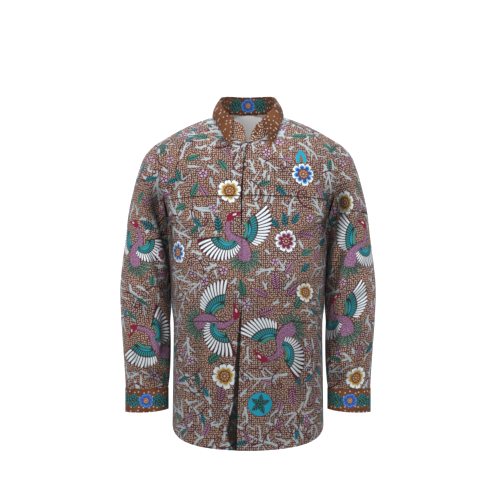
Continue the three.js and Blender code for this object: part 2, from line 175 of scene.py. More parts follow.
def beside_middle(x, t):
    """The sideways parameter at a small distance x from the front's middle."""
    s = np.maximum(0, (t - LOWER_SHARE) / (1 - LOWER_SHARE))
    half = np.where(t < LOWER_SHARE, 184, ARMHOLE["x"])
    return x / (half * mix((1 + 4 * SQUARE) * pi / 2, 1, soft(s)))


def middle_height(t):
    """Height of the front's middle line at the upward parameter t."""
    return body_point(FRONT, 0 * t, t)[..., 2]


def free_edge(column, t):
    """Where a front's free edge lies, as a sideways parameter; along the neck it keeps just clear of the middle."""
    edge = beside_middle(curve(FRONT_EDGES, column, np.minimum(middle_height(t), -66)), t)
    return np.where(t >= NECK_T, 0.002 if column == 1 else -0.002, edge)


def lap_lift(u, t):
    """How far the left front stands off the right one: in full over the lap, fading towards the side and the neck."""
    fade = soft((beside_middle(58, t) - u) / beside_middle(40, t))
    return np.where(t < NECK_T, LAP_LIFT * fade * soft((LAP_TOP - middle_height(t)) / LAP_RUN), 0)


def sleeve_point(turn, down):
    """The left sleeve: a slanting oval ring whose ends, depth and middle follow the table down the arm."""
    row = [curve(SLEEVE, c, down) for c in range(1, 7)]
    across = np.cos(turn)
    return np.stack([(row[0] + row[2]) / 2 + (row[0] - row[2]) / 2 * across, row[5] - row[4] * np.sin(turn),
                     (row[1] + row[3]) / 2 + (row[1] - row[3]) / 2 * across], -1)


def cuff_point(turn, k):
    """The cuff: an upright oval band whose lower edge rises towards the inner side."""
    low = CUFF["bottom"] + CUFF["rise"] * ((1 - np.cos(turn)) / 2) ** 3
    return np.stack([CUFF["x"] + CUFF["half_wide"] * np.cos(turn), CUFF["y"] - CUFF["half_deep"] * np.sin(turn),
                     mix(CUFF["top"], low, k)], -1)


def stand_point(turn, k):
    """The collar stand: the neck seam drawn in and raised to a top edge that drops at its two ends."""
    foot = neck_seam(turn)
    shrink = 1 - STAND["lean"] * k
    past = np.clip((np.abs(turn) - STAND["edge"]) / (STAND["end"] - STAND["edge"]), 0, 1)
    top = (STAND["high"] + STAND["tilt"] * np.cos(turn) + STAND["sag"] * np.cos(2 * turn)
           - 33 * past ** np.where(turn > 0, 2.7, 7))
    return np.stack([foot[..., 0] * shrink, NECK["y"] + (foot[..., 1] - NECK["y"]) * shrink,
                     mix(foot[..., 2] + STAND["foot"], top, k)], -1)


def fall_point(turn, k):
    """The turned-down collar: half a circle over the stand's top, then a slightly bowed run to its free edge."""
    away = np.stack([np.sin(turn), np.cos(turn), 0 * turn], -1)
    over = pi * np.minimum(1, k / FOLD_SHARE)
    folded = stand_point(turn, 0 * k + 1) + away * (COLLAR_TURN / 2 * (1 - np.cos(over)))[..., None]
    folded[..., 2] += COLLAR_WALL + SEAM + COLLAR_TURN / 2 * np.sin(over) + 0.2
    degrees = np.minimum(150, np.abs(turn) * 180 / pi)
    spread = np.where(turn > 0, COLLAR_SPREAD * soft((degrees - 90) / 60), 0)
    edge = np.stack([np.sign(turn) * (curve(COLLAR_EDGE, 1, degrees) + spread), curve(COLLAR_EDGE, 2, degrees),
                     curve(COLLAR_EDGE, 3, degrees)], -1)
    out = np.maximum(0, (k - FOLD_SHARE) / (1 - FOLD_SHARE))[..., None]
    return mix(folded, edge, out) + away * 3 * np.sin(pi * out)


def mirrored(at):
    """The same surface on the other side of the body."""
    def point(u, t):
        p = at(u, t)
        p[..., 0] *= -1
        return p
    return point


# --- flat patterns ----------------------------------------------------------------------------------------------


def lengths(steps):
    """Lengths of the vectors in an array."""
    return np.sqrt((steps**2).sum(-1))


def flatten(points, along, middle, rounds):
    """A panel laid flat. Rows start at their arc lengths from the middle column and their true distances apart,
    then the four families of springs along, across and diagonally in the grid settle to their lengths on the body."""
    across = np.concatenate([np.zeros((len(points), 1)), np.cumsum(lengths(np.diff(points, axis=1)), 1)], 1)
    x = across - across[:, middle:middle + 1]
    if middle == 0:
        x += np.abs(points[:, :1, 0])
    rise = lengths(np.diff(points, axis=0))
    rise = along * np.sqrt(np.maximum(rise**2 - np.diff(x, axis=0) ** 2, (0.3 * rise) ** 2))
    y = points[:1, :, 2] - points[0, middle, 2] + np.concatenate([np.zeros((1, x.shape[1])), np.cumsum(rise, 0)], 0)
    flat = np.stack([x, y], -1)
    pairs = [((slice(None), slice(1, None)), (slice(None), slice(None, -1))),
             ((slice(1, None), slice(None)), (slice(None, -1), slice(None))),
             ((slice(1, None), slice(1, None)), (slice(None, -1), slice(None, -1))),
             ((slice(1, None), slice(None, -1)), (slice(None, -1), slice(1, None)))]
    rests = [lengths(points[a] - points[b]) for a, b in pairs]
    for _ in range(rounds):
        move, count = np.zeros_like(flat), np.zeros(flat.shape[:2] + (1,))
        for (a, b), rest in zip(pairs, rests):
            gap = flat[a] - flat[b]
            size = lengths(gap)
            pull = gap * ((rest - size) / np.maximum(size, 1e-6) / 2)[..., None]
            move[a] += pull
            move[b] -= pull
            count[a] += 1
            count[b] += 1
        flat += move / count * 1.6
    return flat


class Grid:
    """Values at evenly spaced parameters, read between the nodes and looked up backwards."""

    def __init__(self, values, us, ts):
        self.values, self.us, self.ts = values, us, ts

    def cell(self, a, b):
        i = np.clip(np.floor(a), 0, len(self.ts) - 2).astype(int)
        j = np.clip(np.floor(b), 0, len(self.us) - 2).astype(int)
        fa, fb = (a - i)[..., None], (b - j)[..., None]
        v = self.values
        p, q, r, s = v[i, j], v[i, j + 1], v[i + 1, j], v[i + 1, j + 1]
        here = p * (1 - fa) * (1 - fb) + q * (1 - fa) * fb + r * fa * (1 - fb) + s * fa * fb
        return here, (r - p) * (1 - fb) + (s - q) * fb, (q - p) * (1 - fa) + (s - r) * fa

    def at(self, u, t):
        """The value at (u, t): straight between the four nodes round it."""
        a = (t - self.ts[0]) / (self.ts[1] - self.ts[0])
        b = (u - self.us[0]) / (self.us[1] - self.us[0])
        return self.cell(a, b)[0]

    def find(self, wanted):
        """The parameters whose value is the wanted one: from the nearest node, by Newton's steps in the cells."""
        step = 3
        some = self.values[::step, ::step]
        flat = some.reshape(-1, 2)
        near = np.argmin(((wanted[:, None] - flat[None]) ** 2).sum(-1), 1)
        a, b = np.divmod(near, some.shape[1])
        a, b = a * float(step), b * float(step)
        for _ in range(14):
            here, da, db = self.cell(a, b)
            miss = wanted - here
            det = da[:, 0] * db[:, 1] - da[:, 1] * db[:, 0]
            det = np.where(np.abs(det) < 1e-6, 1e-6, det)
            a = a + np.clip((miss[:, 0] * db[:, 1] - miss[:, 1] * db[:, 0]) / det, -3, 3)
            b = b + np.clip((da[:, 0] * miss[:, 1] - da[:, 1] * miss[:, 0]) / det, -3, 3)
            a = np.clip(a, -4, len(self.ts) + 3)
            b = np.clip(b, -4, len(self.us) + 3)
        return self.us[0] + b * (self.us[1] - self.us[0]), self.ts[0] + a * (self.ts[1] - self.ts[0])


class Panel:
    """One cut piece: its surface, its flat pattern and the ways between parameters, pattern and garment."""

    def __init__(self, surface, u_range, t_range, along, out, halved=False, front=None, cells=(26, 64), flip=1,
                 rounds=500):
        self.surface, self.out, self.halved = surface, out, halved
        self.us, self.ts = np.linspace(*u_range, cells[0]), np.linspace(*t_range, cells[1])
        points = surface(*np.meshgrid(self.us, self.ts))
        middle = 0 if halved else len(self.us) // 2
        flat = flatten(points, along, middle, rounds) * (flip, 1)
        self.flat = Grid(flat, self.us, self.ts)
        half = Grid(points[..., [0, 2]], self.us, self.ts)
        if front is not None:
            keep = (self.us >= front[0]) & (self.us <= front[1])
            half = Grid(points[:, keep][..., [0, 2]], self.us[keep], self.ts)
        self.seen = half
        self.unit = np.array([lengths(np.diff(flat, axis=1)).sum(1).mean() / np.ptp(self.us),
                              lengths(np.diff(flat, axis=0)).sum(0).mean() / np.ptp(self.ts)])

    def pattern(self, u, t):
        """Flat pattern millimetres at (u, t)."""
        if not self.halved:
            return self.flat.at(u, t)
        p = self.flat.at(np.abs(u), t)
        p[..., 0] *= np.where(u < 0, -1, 1)
        return p

    def params(self, grid, wanted):
        """Parameters at wanted values of a grid, the other half of a halved panel being the mirror image."""
        if not self.halved:
            return grid.find(wanted)
        side = np.where(wanted[:, 0] < 0, -1.0, 1.0)
        u, t = grid.find(np.stack([np.abs(wanted[:, 0]), wanted[:, 1]], -1))
        return u * side, t

    def place(self, xz):
        """Flat pattern millimetres of garment positions (x, z)."""
        xz = np.atleast_2d(np.asarray(xz, float))
        return self.pattern(*self.params(self.seen, xz))


def path_through(points, count=24):
    """A smooth open line through a few points: cubic pieces with slopes from the neighbours, evenly parametrised."""
    points = np.asarray(points, float)
    if len(points) == 2:
        return mix(points[:1], points[1:], np.linspace(0, 1, count)[:, None])
    keys = np.concatenate([[0], np.cumsum(lengths(np.diff(points, axis=0)))])
    table = np.column_stack([keys, points])
    at = np.linspace(0, keys[-1], count)
    return np.stack([curve(table, c, at) for c in range(1, points.shape[1] + 1)], -1)


def fold_field(lines, flat):
    """How far each pattern position is carried inwards. Every fold is a line with a half-width and a depth; across
    it the depth falls as a bell curve between two low ridges, and along it it fades in and out."""
    depth = np.zeros(len(flat))
    for line, half, deep in lines:
        reach = 4.2 * half
        near = ((flat > line.min(0) - reach) & (flat < line.max(0) + reach)).all(-1)
        if not near.any():
            continue
        a, b = line[:-1], line[1:]
        span = b - a
        rel = flat[near][:, None] - a[None]
        k = np.clip((rel * span).sum(-1) / (span**2).sum(-1), 0, 1)
        distance = lengths(rel - k[..., None] * span)
        best = distance.argmin(1)
        pick = np.arange(len(best))
        d, share = distance[pick, best], (best + k[pick, best]) / len(a)
        fade = soft(share / 0.38) * soft((1 - share) / 0.38)
        bell = np.exp(-((d / half) ** 2)) - 0.3 * np.exp(-(((d - 2.1 * half) / half) ** 2))
        depth[near] += deep * fade * bell
    return depth


def fold_lines(panel, rows):
    """Folds as smooth lines on the flat pattern, from rows of half-width, depth and garment positions (x, z)."""
    return [(path_through(panel.place(through), 14), half, deep) for half, deep, *through in rows]


def fold_lines_by_share(panel, rows):
    """The same from rows of half-width, depth and surface parameters, for what faces away."""
    return [(path_through(panel.pattern(*np.array(through, float).T), 14), half, deep)
            for half, deep, *through in rows]


# --- the print: motifs in millimetres, each a list of (outline, colour) from the lowest to the topmost ----------


def ribbon(line, width):
    """A stroke: a line moved half its width to each side."""
    step = np.gradient(line, axis=0)
    across = np.stack([-step[:, 1], step[:, 0]], -1) / np.maximum(lengths(step), 1e-9)[:, None]
    half = across * (np.broadcast_to(width, len(line)) / 2)[:, None]
    return np.concatenate([line + half, (line - half)[::-1]])


def blob(points, per=3):
    """A closed smooth outline through a few points, by Catmull and Rom's cubic."""
    b = np.asarray(points, float)
    a, c, d = np.roll(b, 1, 0), np.roll(b, -1, 0), np.roll(b, -2, 0)
    k = (np.arange(per) / per)[None, :, None]
    a, b, c, d = (v[:, None] for v in (a, b, c, d))
    return (0.5 * (2 * b + (c - a) * k + (2 * a - 5 * b + 4 * c - d) * k**2
                   + (3 * b - a - 3 * c + d) * k**3)).reshape(-1, 2)


def disc(x, y, radius, count=10, squeeze=1.0, turn=0.0):
    """An oval outline, squeezed across and turned."""
    a = np.arange(count) / count * 2 * pi
    p = np.stack([radius * np.cos(a), radius * squeeze * np.sin(a)], -1)
    return turned(p, turn) + (x, y)


def turned(points, angle):
    """Points turned about the origin."""
    c, s = np.cos(angle), np.sin(angle)
    return np.asarray(points, float) @ np.array([[c, s], [-s, c]])


def flower(radius, deep, pale, petals=8, reach=0.6, heart="bark", tip="white"):
    """Rounded petals set a little apart round a broad dotted heart; each is white, tinted in two steps to its base."""
    a = np.arange(petals * 8) / (petals * 8) * 2 * pi
    r = radius * (0.74 + 0.29 * np.abs(np.cos((a - 0.2) * petals / 2)) ** 0.5) + 0.8
    items = [(np.stack([r * np.cos(a), r * np.sin(a)], -1), "outline")]
    w = 2 * radius * np.sin(pi / petals) * 0.72
    whole = [(0.42, -0.22), (0.66, -0.46), (0.88, -0.48), (1.0, -0.24), (0.96, 0), (1.0, 0.24), (0.88, 0.48),
             (0.66, 0.46), (0.42, 0.22)]
    tint = [(0.4, -0.2), (reach, -0.36), (reach + 0.12, -0.22), (reach + 0.17, 0), (reach + 0.12, 0.22),
            (reach, 0.36), (0.4, 0.2)]
    base = [(0.4, -0.2), (reach - 0.06, -0.32), (reach + 0.02, -0.16), (reach + 0.05, 0), (reach + 0.02, 0.16),
            (reach - 0.06, 0.32), (0.4, 0.2)]
    for j in range(petals):
        for shape, colour in ((whole, tip), (tint, pale), (base, deep)):
            points = np.array(shape) * (radius * (1 + 0.05 * np.sin(j * 2.3)), w)
            items.append((turned(blob(points, 2), 2 * pi * j / petals + 0.2), colour))
    items += [(disc(0, 0, 0.46 * radius, 16), "outline"), (disc(0, 0, 0.42 * radius, 16), heart)]
    for j in range(9):
        x, y = turned([(0.28 * radius, 0)], 2 * pi * j / 9)[0]
        items.append((disc(x, y, 0.07 * radius, 6, 0.6, 2 * pi * j / 9), "cream"))
    items.append((disc(0, 0, 0.08 * radius, 6), "cream"))
    return items


def blossom(radius):
    """A small five-petalled blossom with a maroon rim."""
    items = []
    for j in range(5):
        x, y = turned([(0.56 * radius, 0)], 2 * pi * j / 5 + 0.4)[0]
        items.append((disc(x, y, 0.44 * radius, 8), "maroon"))
    for j in range(5):
        x, y = turned([(0.6 * radius, 0)], 2 * pi * j / 5 + 0.4)[0]
        items.append((disc(x, y, 0.29 * radius, 7), "petal"))
    return items + [(disc(0, 0, 0.2 * radius, 6), "maroon"), (disc(0, 0, 0.1 * radius, 5), "white")]


def leaf(length, width, ground, stroke, strokes=6):
    """A pointed leaf along +x with a row of slanting strokes on each side of its rib."""
    k = np.linspace(0, 1, 9)
    edge = np.sin(pi * k**0.85) ** 0.8 * width / 2
    top = np.stack([k * length, edge], -1)
    items = [(np.concatenate([top, (top * (1, -1))[-2:0:-1]]), ground)]
    for side in (-1, 1):
        for k in (np.arange(strokes) + 0.6) / (strokes + 0.7):
            reach = np.sin(pi * k**0.85) ** 0.8 * width / 2
            line = np.array([(k * length, side * 0.8), (k * length + reach * 0.42, side * (0.5 + reach * 0.45)),
                             (k * length + reach * 0.7, side * reach * 0.92)])
            items.append((ribbon(line, np.array([0.7, 1.5, 0.8])), stroke))
    return items


def fan(pivot, start, sweep, inner, outer, count):
    """A spread wing: white flight feathers over maroon, a row of teal coverts, a turquoise stripe and small down.
    The reach of coverts and feathers is given at the first and at the last feather."""

    def at(k, share):
        """Share 0 to 1 runs from the pivot over the coverts, 1 to 2 along the feathers."""
        near = mix(inner[0], inner[1], k)
        far = mix(outer[0], outer[1], k) * (1 + 0.07 * np.sin(pi * np.clip(k, 0, 1)))
        r = near * np.minimum(share, 1) + (far - near) * np.maximum(share - 1, 0)
        a = start + sweep * k
        return np.asarray(pivot) + np.stack([r * np.cos(a), r * np.sin(a)], -1)

    k = np.linspace(-0.02, 1.02, 15)
    items = [(np.concatenate([at(k, 2.02 + 0 * k), at(k, 0.95 + 0 * k)[::-1]]), "maroon"),
             (np.concatenate([at(k, 0.99 + 0 * k), at(k, 0.42 + 0 * k)[::-1]]), "dark_green")]
    share = np.array([1.03, 1.3, 1.65, 1.93, 2.02])
    for i in range(count):
        k = (i + 0.5) / count
        pitch = abs(sweep) / count * mix(inner[0], inner[1], k) * np.array([1, 1.2, 1.45, 1.6, 1.65])
        line = at(k + np.array([0, 0.004, 0.012, 0.024, 0.03]), share)
        items.append((ribbon(line, np.minimum(pitch * [0.60, 0.62, 0.62, 0.5, 0.16], 5.2)), "white"))
        items.append((ribbon(at(np.array([k, k + 0.02]), np.array([0.74, 0.96])), pitch[:2] * 0.40), "teal"))
        items.append((ribbon(at(np.array([k + 0.03, k + 0.05]), np.array([0.45, 0.58])), pitch[:2] * 0.28), "leaf"))
    k = np.linspace(0.12, 0.84, 7)
    items.append((ribbon(at(k, 0.66 + 0 * k), np.array([1, 2.8, 3.8, 4.2, 3.8, 2.6, 1])), "turquoise"))
    return items


def bird():
    """A long-necked bird on the wing, about 170 mm across: plumed tail, two spread wings, speckled body."""
    items = []
    for i in range(9):
        a = np.radians(-158 + 22 * i)
        plume = leaf(32 + 4 * np.sin(i * 2.4), 13, "plume_dark", "plume", 6)
        items += put(plume, turned([(8, 0)], a)[0] + (11, -36), a)
    items += fan((-10, 18), np.radians(-34), np.radians(74), (44, 58), (56, 92), 12)
    spine = path_through([(-23, 46), (-27, 32), (-25, 14), (-13, 1), (3, -11), (11, -28), (12, -46)], 15)
    wide = curve(np.array([(0, 8), (3, 11), (6, 18), (8, 27), (11, 32), (14, 27)], float), 1, np.arange(15.0))
    items += [(ribbon(spine, wide + 3), "maroon"), (ribbon(spine, wide), "lilac")]
    items += fan((-21, 12), np.radians(188), np.radians(120), (45, 26), (78, 36), 15)
    head = blob([(-29, 43), (-28, 54), (-17, 62), (-4, 62), (10, 63), (0, 56), (-11, 50), (-19, 43)], 3)
    return items + [(head, "crimson"), (disc(-11, 57, 4.8, 8, 0.42, 0.3), "white"), (disc(-12, 57, 1.0, 5), "maroon")]


def roundel(radius):
    """A turquoise round with three notched brown leaves in it."""
    items = [(blob(disc(0, 0, radius * 1.05, 9) * (1, 0.96), 3), "outline"),
             (blob(disc(0, 0, radius, 9) * (1, 0.96), 3), "turquoise")]
    for angle in (2.4, 3.6, 4.9, 0.2, 1.3):
        items += put(leaf(radius * 0.86, radius * 0.44, "dark_green", "teal", 4), (0, 0), angle)
    return items


def tendril(rng):
    """A maroon stalk that ends in a spiral, with a leaf or two."""
    k = np.linspace(0, 1, 30)
    curl = rng.choice([-1, 1])
    heading = curl * (0.7 * np.sin(3 * k) + 9.5 * k**2.6)
    step = np.stack([np.cos(heading), np.sin(heading)], -1) * (5.2 * (1 - 0.66 * k))[:, None]
    line = np.cumsum(step, 0)
    items = [(ribbon(line, 3.0 - 1.2 * k), "maroon")]
    for at, side in ((4, 1), (9, -1)):
        if rng.random() < 0.6:
            kind = [("maroon_leaf", "petal"), ("dark_green", "leaf"), ("dark_green", "turquoise")][rng.integers(3)]
            items += put(leaf(rng.uniform(22, 34), rng.uniform(10, 13), *kind), line[at], side * 0.8)
    return items


def put(items, at, turn=0.0, size=1.0, mirror=False):
    """Motif outlines scaled, mirrored if wanted, turned and moved to their place."""
    flip = np.array([-size if mirror else size, size])
    return [(turned(p * flip, turn) + np.asarray(at), colour) for p, colour in items]


CELL = 2  # side of one cell of a Room, in mm


class Room:
    """What is taken up on a flat pattern, in square cells."""

    def __init__(self, low, high):
        self.low = low
        self.taken = np.zeros(np.ceil((high - low) / CELL).astype(int) + 1, bool)

    def cells(self, points):
        c = ((points - self.low) / CELL).astype(int)
        return c[((c >= 0) & (c < self.taken.shape)).all(-1)]

    def free(self, points):
        c = self.cells(points)
        return not self.taken[c[:, 0], c[:, 1]].any()

    def take(self, points, radius):
        r = int(np.ceil(radius / CELL))
        around = np.stack(np.meshgrid(*[np.arange(-r, r + 1)] * 2), -1).reshape(-1, 2)
        around = around[(around**2).sum(-1) <= (radius / 2) ** 2] * 2
        c = self.cells((points[:, None] + around[None]).reshape(-1, 2))
        self.taken[c[:, 0], c[:, 1]] = True


def coral(rng, length):
    """A pale forked branch: a wandering stem with short twigs to both sides, some forked again, all tapering."""
    parts = []

    def stroke(start, heading, length, wide, deep):
        count = max(5, int(length / 3.5))
        turns = heading + np.cumsum(rng.normal(0, 0.09, count)) + rng.uniform(-0.5, 0.5) * np.linspace(0, 1, count)
        line = np.asarray(start) + np.cumsum(np.stack([np.cos(turns), np.sin(turns)], -1), 0) * length / count
        taper = np.linspace(wide, 0.5 * wide, count)
        taper[-1] *= 0.5
        parts.append((line, taper))
        side = rng.choice([-1, 1])
        if deep < 2:
            for at in range(2 + deep, count - 2, 3 + deep):
                if rng.random() < 0.86 - 0.45 * deep:
                    stroke(line[at], turns[at] + side * rng.uniform(0.55, 1.05), length * rng.uniform(0.30, 0.46),
                           taper[at] * 0.86, deep + 1)
                side = -side

    stroke((0, 0), 0, length, 5.8, 0)
    return parts


def grow_branches(rng, room, low, high, tries):
    """Coral branches set at random, the longest first, each only where all of it finds free room."""
    items = []
    for i in range(tries):
        length = mix(92, 18, (i / tries) ** 0.6)
        parts = coral(rng, length)
        start, turn = rng.uniform(low, high), rng.uniform(0, 2 * pi)
        parts = [(turned(line, turn) + start, taper) for line, taper in parts]
        if room.free(np.concatenate([line for line, _ in parts])):
            items += [(ribbon(line, taper), "branch") for line, taper in parts]
            for line, _ in parts:
                room.take(line, 4.6)
    return items


KINDS = {
    "amber": lambda size: flower(size / 2, "amber", "amber_pale"),
    "blue": lambda size: flower(size / 2, "blue", "blue_pale", 8, 0.68),
    "red": lambda size: flower(size / 2, "maroon_petal", "petal", 8, 0.66, "maroon_petal"),
    "blossom": lambda size: blossom(size / 2),
    "bird": lambda size: put(bird(), (0, 0), 0, size / 120),
    "roundel": lambda size: roundel(size / 2),
    "teal_leaf": lambda size: leaf(size, size * 0.42, "dark_green", "leaf", 8),
    "dark_leaf": lambda size: leaf(size, size * 0.46, "dark_green", "turquoise", 5),
    "red_leaf": lambda size: leaf(size, size * 0.40, "maroon_leaf", "petal", 8),
    "bright_leaf": lambda size: leaf(size, size * 0.66, "turquoise", "turquoise", 2)
    + put(leaf(size * 0.66, size * 0.26, "bark", "leaf", 5), (size * 0.06, 0)),
}


def main_print(panel, motifs, seed, branch_tries=2600, tendrils=60):
    """The main cloth's print, lowest first: coral branches, then tendrils, leaves and blossoms strewn over them, and
    the named motifs on top, where they are set. The named motifs take their room before anything is strewn."""
    rng = np.random.default_rng(seed)
    flat = panel.flat.values.reshape(-1, 2)
    if panel.halved:
        flat = np.concatenate([flat, flat * (-1, 1)])
    low, high = flat.min(0) - 6, flat.max(0) + 6
    room = Room(low, high)
    top = []
    for kind, x, z, size, degrees, mirror in motifs:
        at = panel.place((x, z))[0]
        items = put(KINDS[kind](size), at, np.radians(degrees), 1.0, mirror)
        top += items
        for points, _ in items:
            room.take(points, 5.5)
        room.take(at[None], size * 0.3)
    # Branches keep clear of the main motifs and of one another; what is strewn lies over them.
    strewn, over = [], Room(low, high)
    over.taken = room.taken.copy()
    branches = grow_branches(rng, room, low, high, branch_tries)
    for i in range(tendrils * 18):
        kind = "tendril" if i < tendrils * 10 else rng.choice(["blossom", "teal_leaf", "red_leaf", "dark_leaf"])
        items = tendril(rng) if kind == "tendril" else KINDS[kind](
            rng.uniform(18, 23) if kind == "blossom" else rng.uniform(30, 44))
        items = put(items, rng.uniform(low, high), rng.uniform(0, 2 * pi))
        if all(over.free(points) for points, _ in items[:4]):
            strewn += items
            for points, _ in items[:1 if kind == "tendril" else 8]:
                over.take(points, 7.0)
    return branches + strewn + top


def border_print(panel, flowers, size):
    """The border cloth's print: blue flowers set in a row, each between two leafy sprigs."""
    items = []
    for u, t, turn in flowers:
        at = panel.pattern(np.array([u]), np.array([t]))[0]
        for side in (0, pi):
            for lean, reach in ((-0.62, 0.8), (-0.28, 1.15), (0.05, 1.4), (0.36, 1.1), (0.68, 0.8)):
                start = turned([(size * 0.42, 0)], side + turn)[0]
                items += put(leaf(size * reach, size * 0.34, "dark_green", "teal", 5), at + start, side + lean + turn)
        items += put(flower(size / 2, "blue", "blue", 7, 0.66, "bark", "blue_mid"), at, turn)
    return items


# --- colours ----------------------------------------------------------------------------------------------------


def linear(colour):
    """An sRGB hex colour as linear light."""
    c = np.array([int(colour[i:i + 2], 16) for i in (1, 3, 5)]) / 255
    return np.where(c <= 0.04045, c / 12.92, ((c + 0.055) / 1.055) ** 2.4)


# Dye colours, and what fills them: 0 plain, 1 the ground's wax dots, 2 the speckle of the birds' bodies.
DYES = {
    "ground": ("#7a4a31", 1), "branch": ("#b3c3c8", 0), "outline": ("#4a2420", 0), "bark": ("#8a5228", 0),
    "maroon": ("#561a2c", 0), "maroon_petal": ("#7d2440", 0), "maroon_leaf": ("#632236", 0),
    "crimson": ("#8c1638", 0), "lilac": ("#a680a0", 2), "petal": ("#c5a6c4", 0), "white": ("#e6f2f4", 0),
    "teal": ("#2b97a0", 0), "turquoise": ("#17a6c4", 0), "leaf": ("#52ab9d", 0), "dark_green": ("#29382f", 0),
    "plume": ("#7fa898", 0), "plume_dark": ("#3a4238", 0), "amber": ("#b3801f", 0), "amber_pale": ("#d9c184", 0),
    "blue": ("#1c55ac", 0), "blue_pale": ("#6fb2e2", 0), "blue_mid": ("#3f86d6", 0), "cream": ("#d3c0a8", 0),
}
DYE_NAMES = list(DYES)
DYE_LIGHT = np.array([linear(DYES[n][0]) for n in DYE_NAMES])
DYE_FILL = np.array([DYES[n][1] for n in DYE_NAMES], float)

# --- cloth meshes -----------------------------------------------------------------------------------------------


def inside(points, outline):
    """Whether points lie in a closed outline: an odd number of its sides passes to their right."""
    a, b = outline, np.roll(outline, -1, 0)
    p = points[:, None]
    crosses = (a[None, :, 1] > p[..., 1]) != (b[None, :, 1] > p[..., 1])
    slope = (b[:, 0] - a[:, 0]) / np.where(b[:, 1] == a[:, 1], 1e-12, b[:, 1] - a[:, 1])
    return (crosses & (p[..., 0] < a[None, :, 0] + (p[..., 1] - a[None, :, 1]) * slope)).sum(1) % 2 == 1


def lattice(low, high, pitch):
    """Points of a triangular lattice that fills a rectangle."""
    xs, ys = np.arange(low[0], high[0], pitch), np.arange(low[1], high[1], pitch * 0.866)
    x, y = np.meshgrid(xs, ys)
    x[1::2] += pitch / 2
    return np.stack([x, y], -1).reshape(-1, 2)


def borders(triangles):
    """Directed edges that only one triangle has, chained into one loop of vertex numbers."""
    edges = np.concatenate([triangles[:, [0, 1]], triangles[:, [1, 2]], triangles[:, [2, 0]]])
    _, first, count = np.unique(np.sort(edges, 1), axis=0, return_index=True, return_counts=True)
    follow = dict(edges[first[count == 1]].tolist())
    start = next(iter(follow))
    loop = [start]
    while follow[loop[-1]] != start:
        loop.append(follow[loop[-1]])
    return np.array(loop)


def triangulate(points, loops, edges=()):
    """Delaunay triangles inside the first closed outline and outside the others, keeping all sides and edges."""
    faces = [loop.tolist() for loop in loops]
    found = delaunay_2d_cdt(points.tolist(), np.reshape(edges, (-1, 2)).astype(int).tolist(), faces, 1, 1e-4, True)
    kept = np.fromiter((o == [0] for o in found[5]), bool)
    return np.array([tuple(v) for v in found[0]]), np.array(found[2])[kept]


def topmost(points, outlines):
    """The last outline that winds round each point, counted from 1, or 0 where none does: the sides that pass
    upwards on its right less those that pass downwards."""
    owner = np.zeros(len(points), int)
    order = np.argsort(points[:, 0])
    xs = points[order, 0]
    for number, outline in enumerate(outlines, 1):
        (x0, y0), (x1, y1) = outline.min(0), outline.max(0)
        some = order[np.searchsorted(xs, x0):np.searchsorted(xs, x1)]
        y = points[some, 1]
        some = some[(y > y0) & (y < y1)]
        a, b = outline, np.roll(outline, -1, 0)
        rel = points[some][:, None] - a[None]
        way = (b - a)[None]
        left = way[..., 0] * rel[..., 1] - way[..., 1] * rel[..., 0] > 0
        above = rel[..., 1] >= 0
        below_end = rel[..., 1] < way[..., 1]
        winding = (above & below_end & left).sum(1) - (~above & ~below_end & ~left).sum(1)
        owner[some[winding != 0]] = number
    return owner


def side_line(edge, t):
    """Points of an outline's side: a sideways parameter for every upward one."""
    return np.stack([np.broadcast_to(edge(t) if callable(edge) else edge, t.shape), t], -1)


def outline_of(panel, left, right, bottom, top, pitch=5.0):
    """A panel's outline in its parameters, anticlockwise, divided about every few millimetres."""
    across = max(6, int((panel.us[-1] - panel.us[0]) * panel.unit[0] / pitch))
    along = max(4, int((top - bottom) * panel.unit[1] / pitch))
    k = np.linspace(0, 1, across + 1)[:-1, None]
    t = np.linspace(bottom, top, along + 1)
    a, b = side_line(left, t), side_line(right, t)
    return np.concatenate([mix(a[:1], b[:1], k), b[:-1], mix(b[-1:], a[-1:], k), a[:0:-1]])


def moved_surface(panel, lift):
    """The panel's surface carried off it along its normal, and the normal of what results, both by differences."""
    step = 1.2 / panel.unit

    def normal(at, u, t):
        du = at(u + step[0], t) - at(u - step[0], t)
        dt = at(u, t + step[1]) - at(u, t - step[1])
        n = np.cross(du, dt) * panel.out
        return n / np.maximum(lengths(n), 1e-9)[:, None]

    def placed(u, t):
        return panel.surface(u, t) + normal(panel.surface, u, t) * lift(u, t)[:, None]

    return lambda u, t: (placed(u, t), normal(placed, u, t))


def new_object(name, points, triangles, normals, materials):
    """A mesh object from arrays in millimetres, with a normal for every corner."""
    mesh = bpy.data.meshes.new(name)
    mesh.vertices.add(len(points))
    mesh.vertices.foreach_set("co", (points * MM).astype(np.float32).ravel())
    mesh.loops.add(triangles.size)
    mesh.loops.foreach_set("vertex_index", triangles.astype(np.int32).ravel())
    mesh.polygons.add(len(triangles))
    mesh.polygons.foreach_set("loop_start", np.arange(0, triangles.size, 3, dtype=np.int32))
    for material in materials:
        mesh.materials.append(material)
    mesh.update(calc_edges=True)
    mesh.polygons.foreach_set("use_smooth", np.ones(len(triangles), bool))
    if normals is not None:
        mesh.normals_split_custom_set(normals.reshape(-1, 3).tolist())
    piece = bpy.data.objects.new(name, mesh)
    bpy.context.scene.collection.objects.link(piece)
    return piece


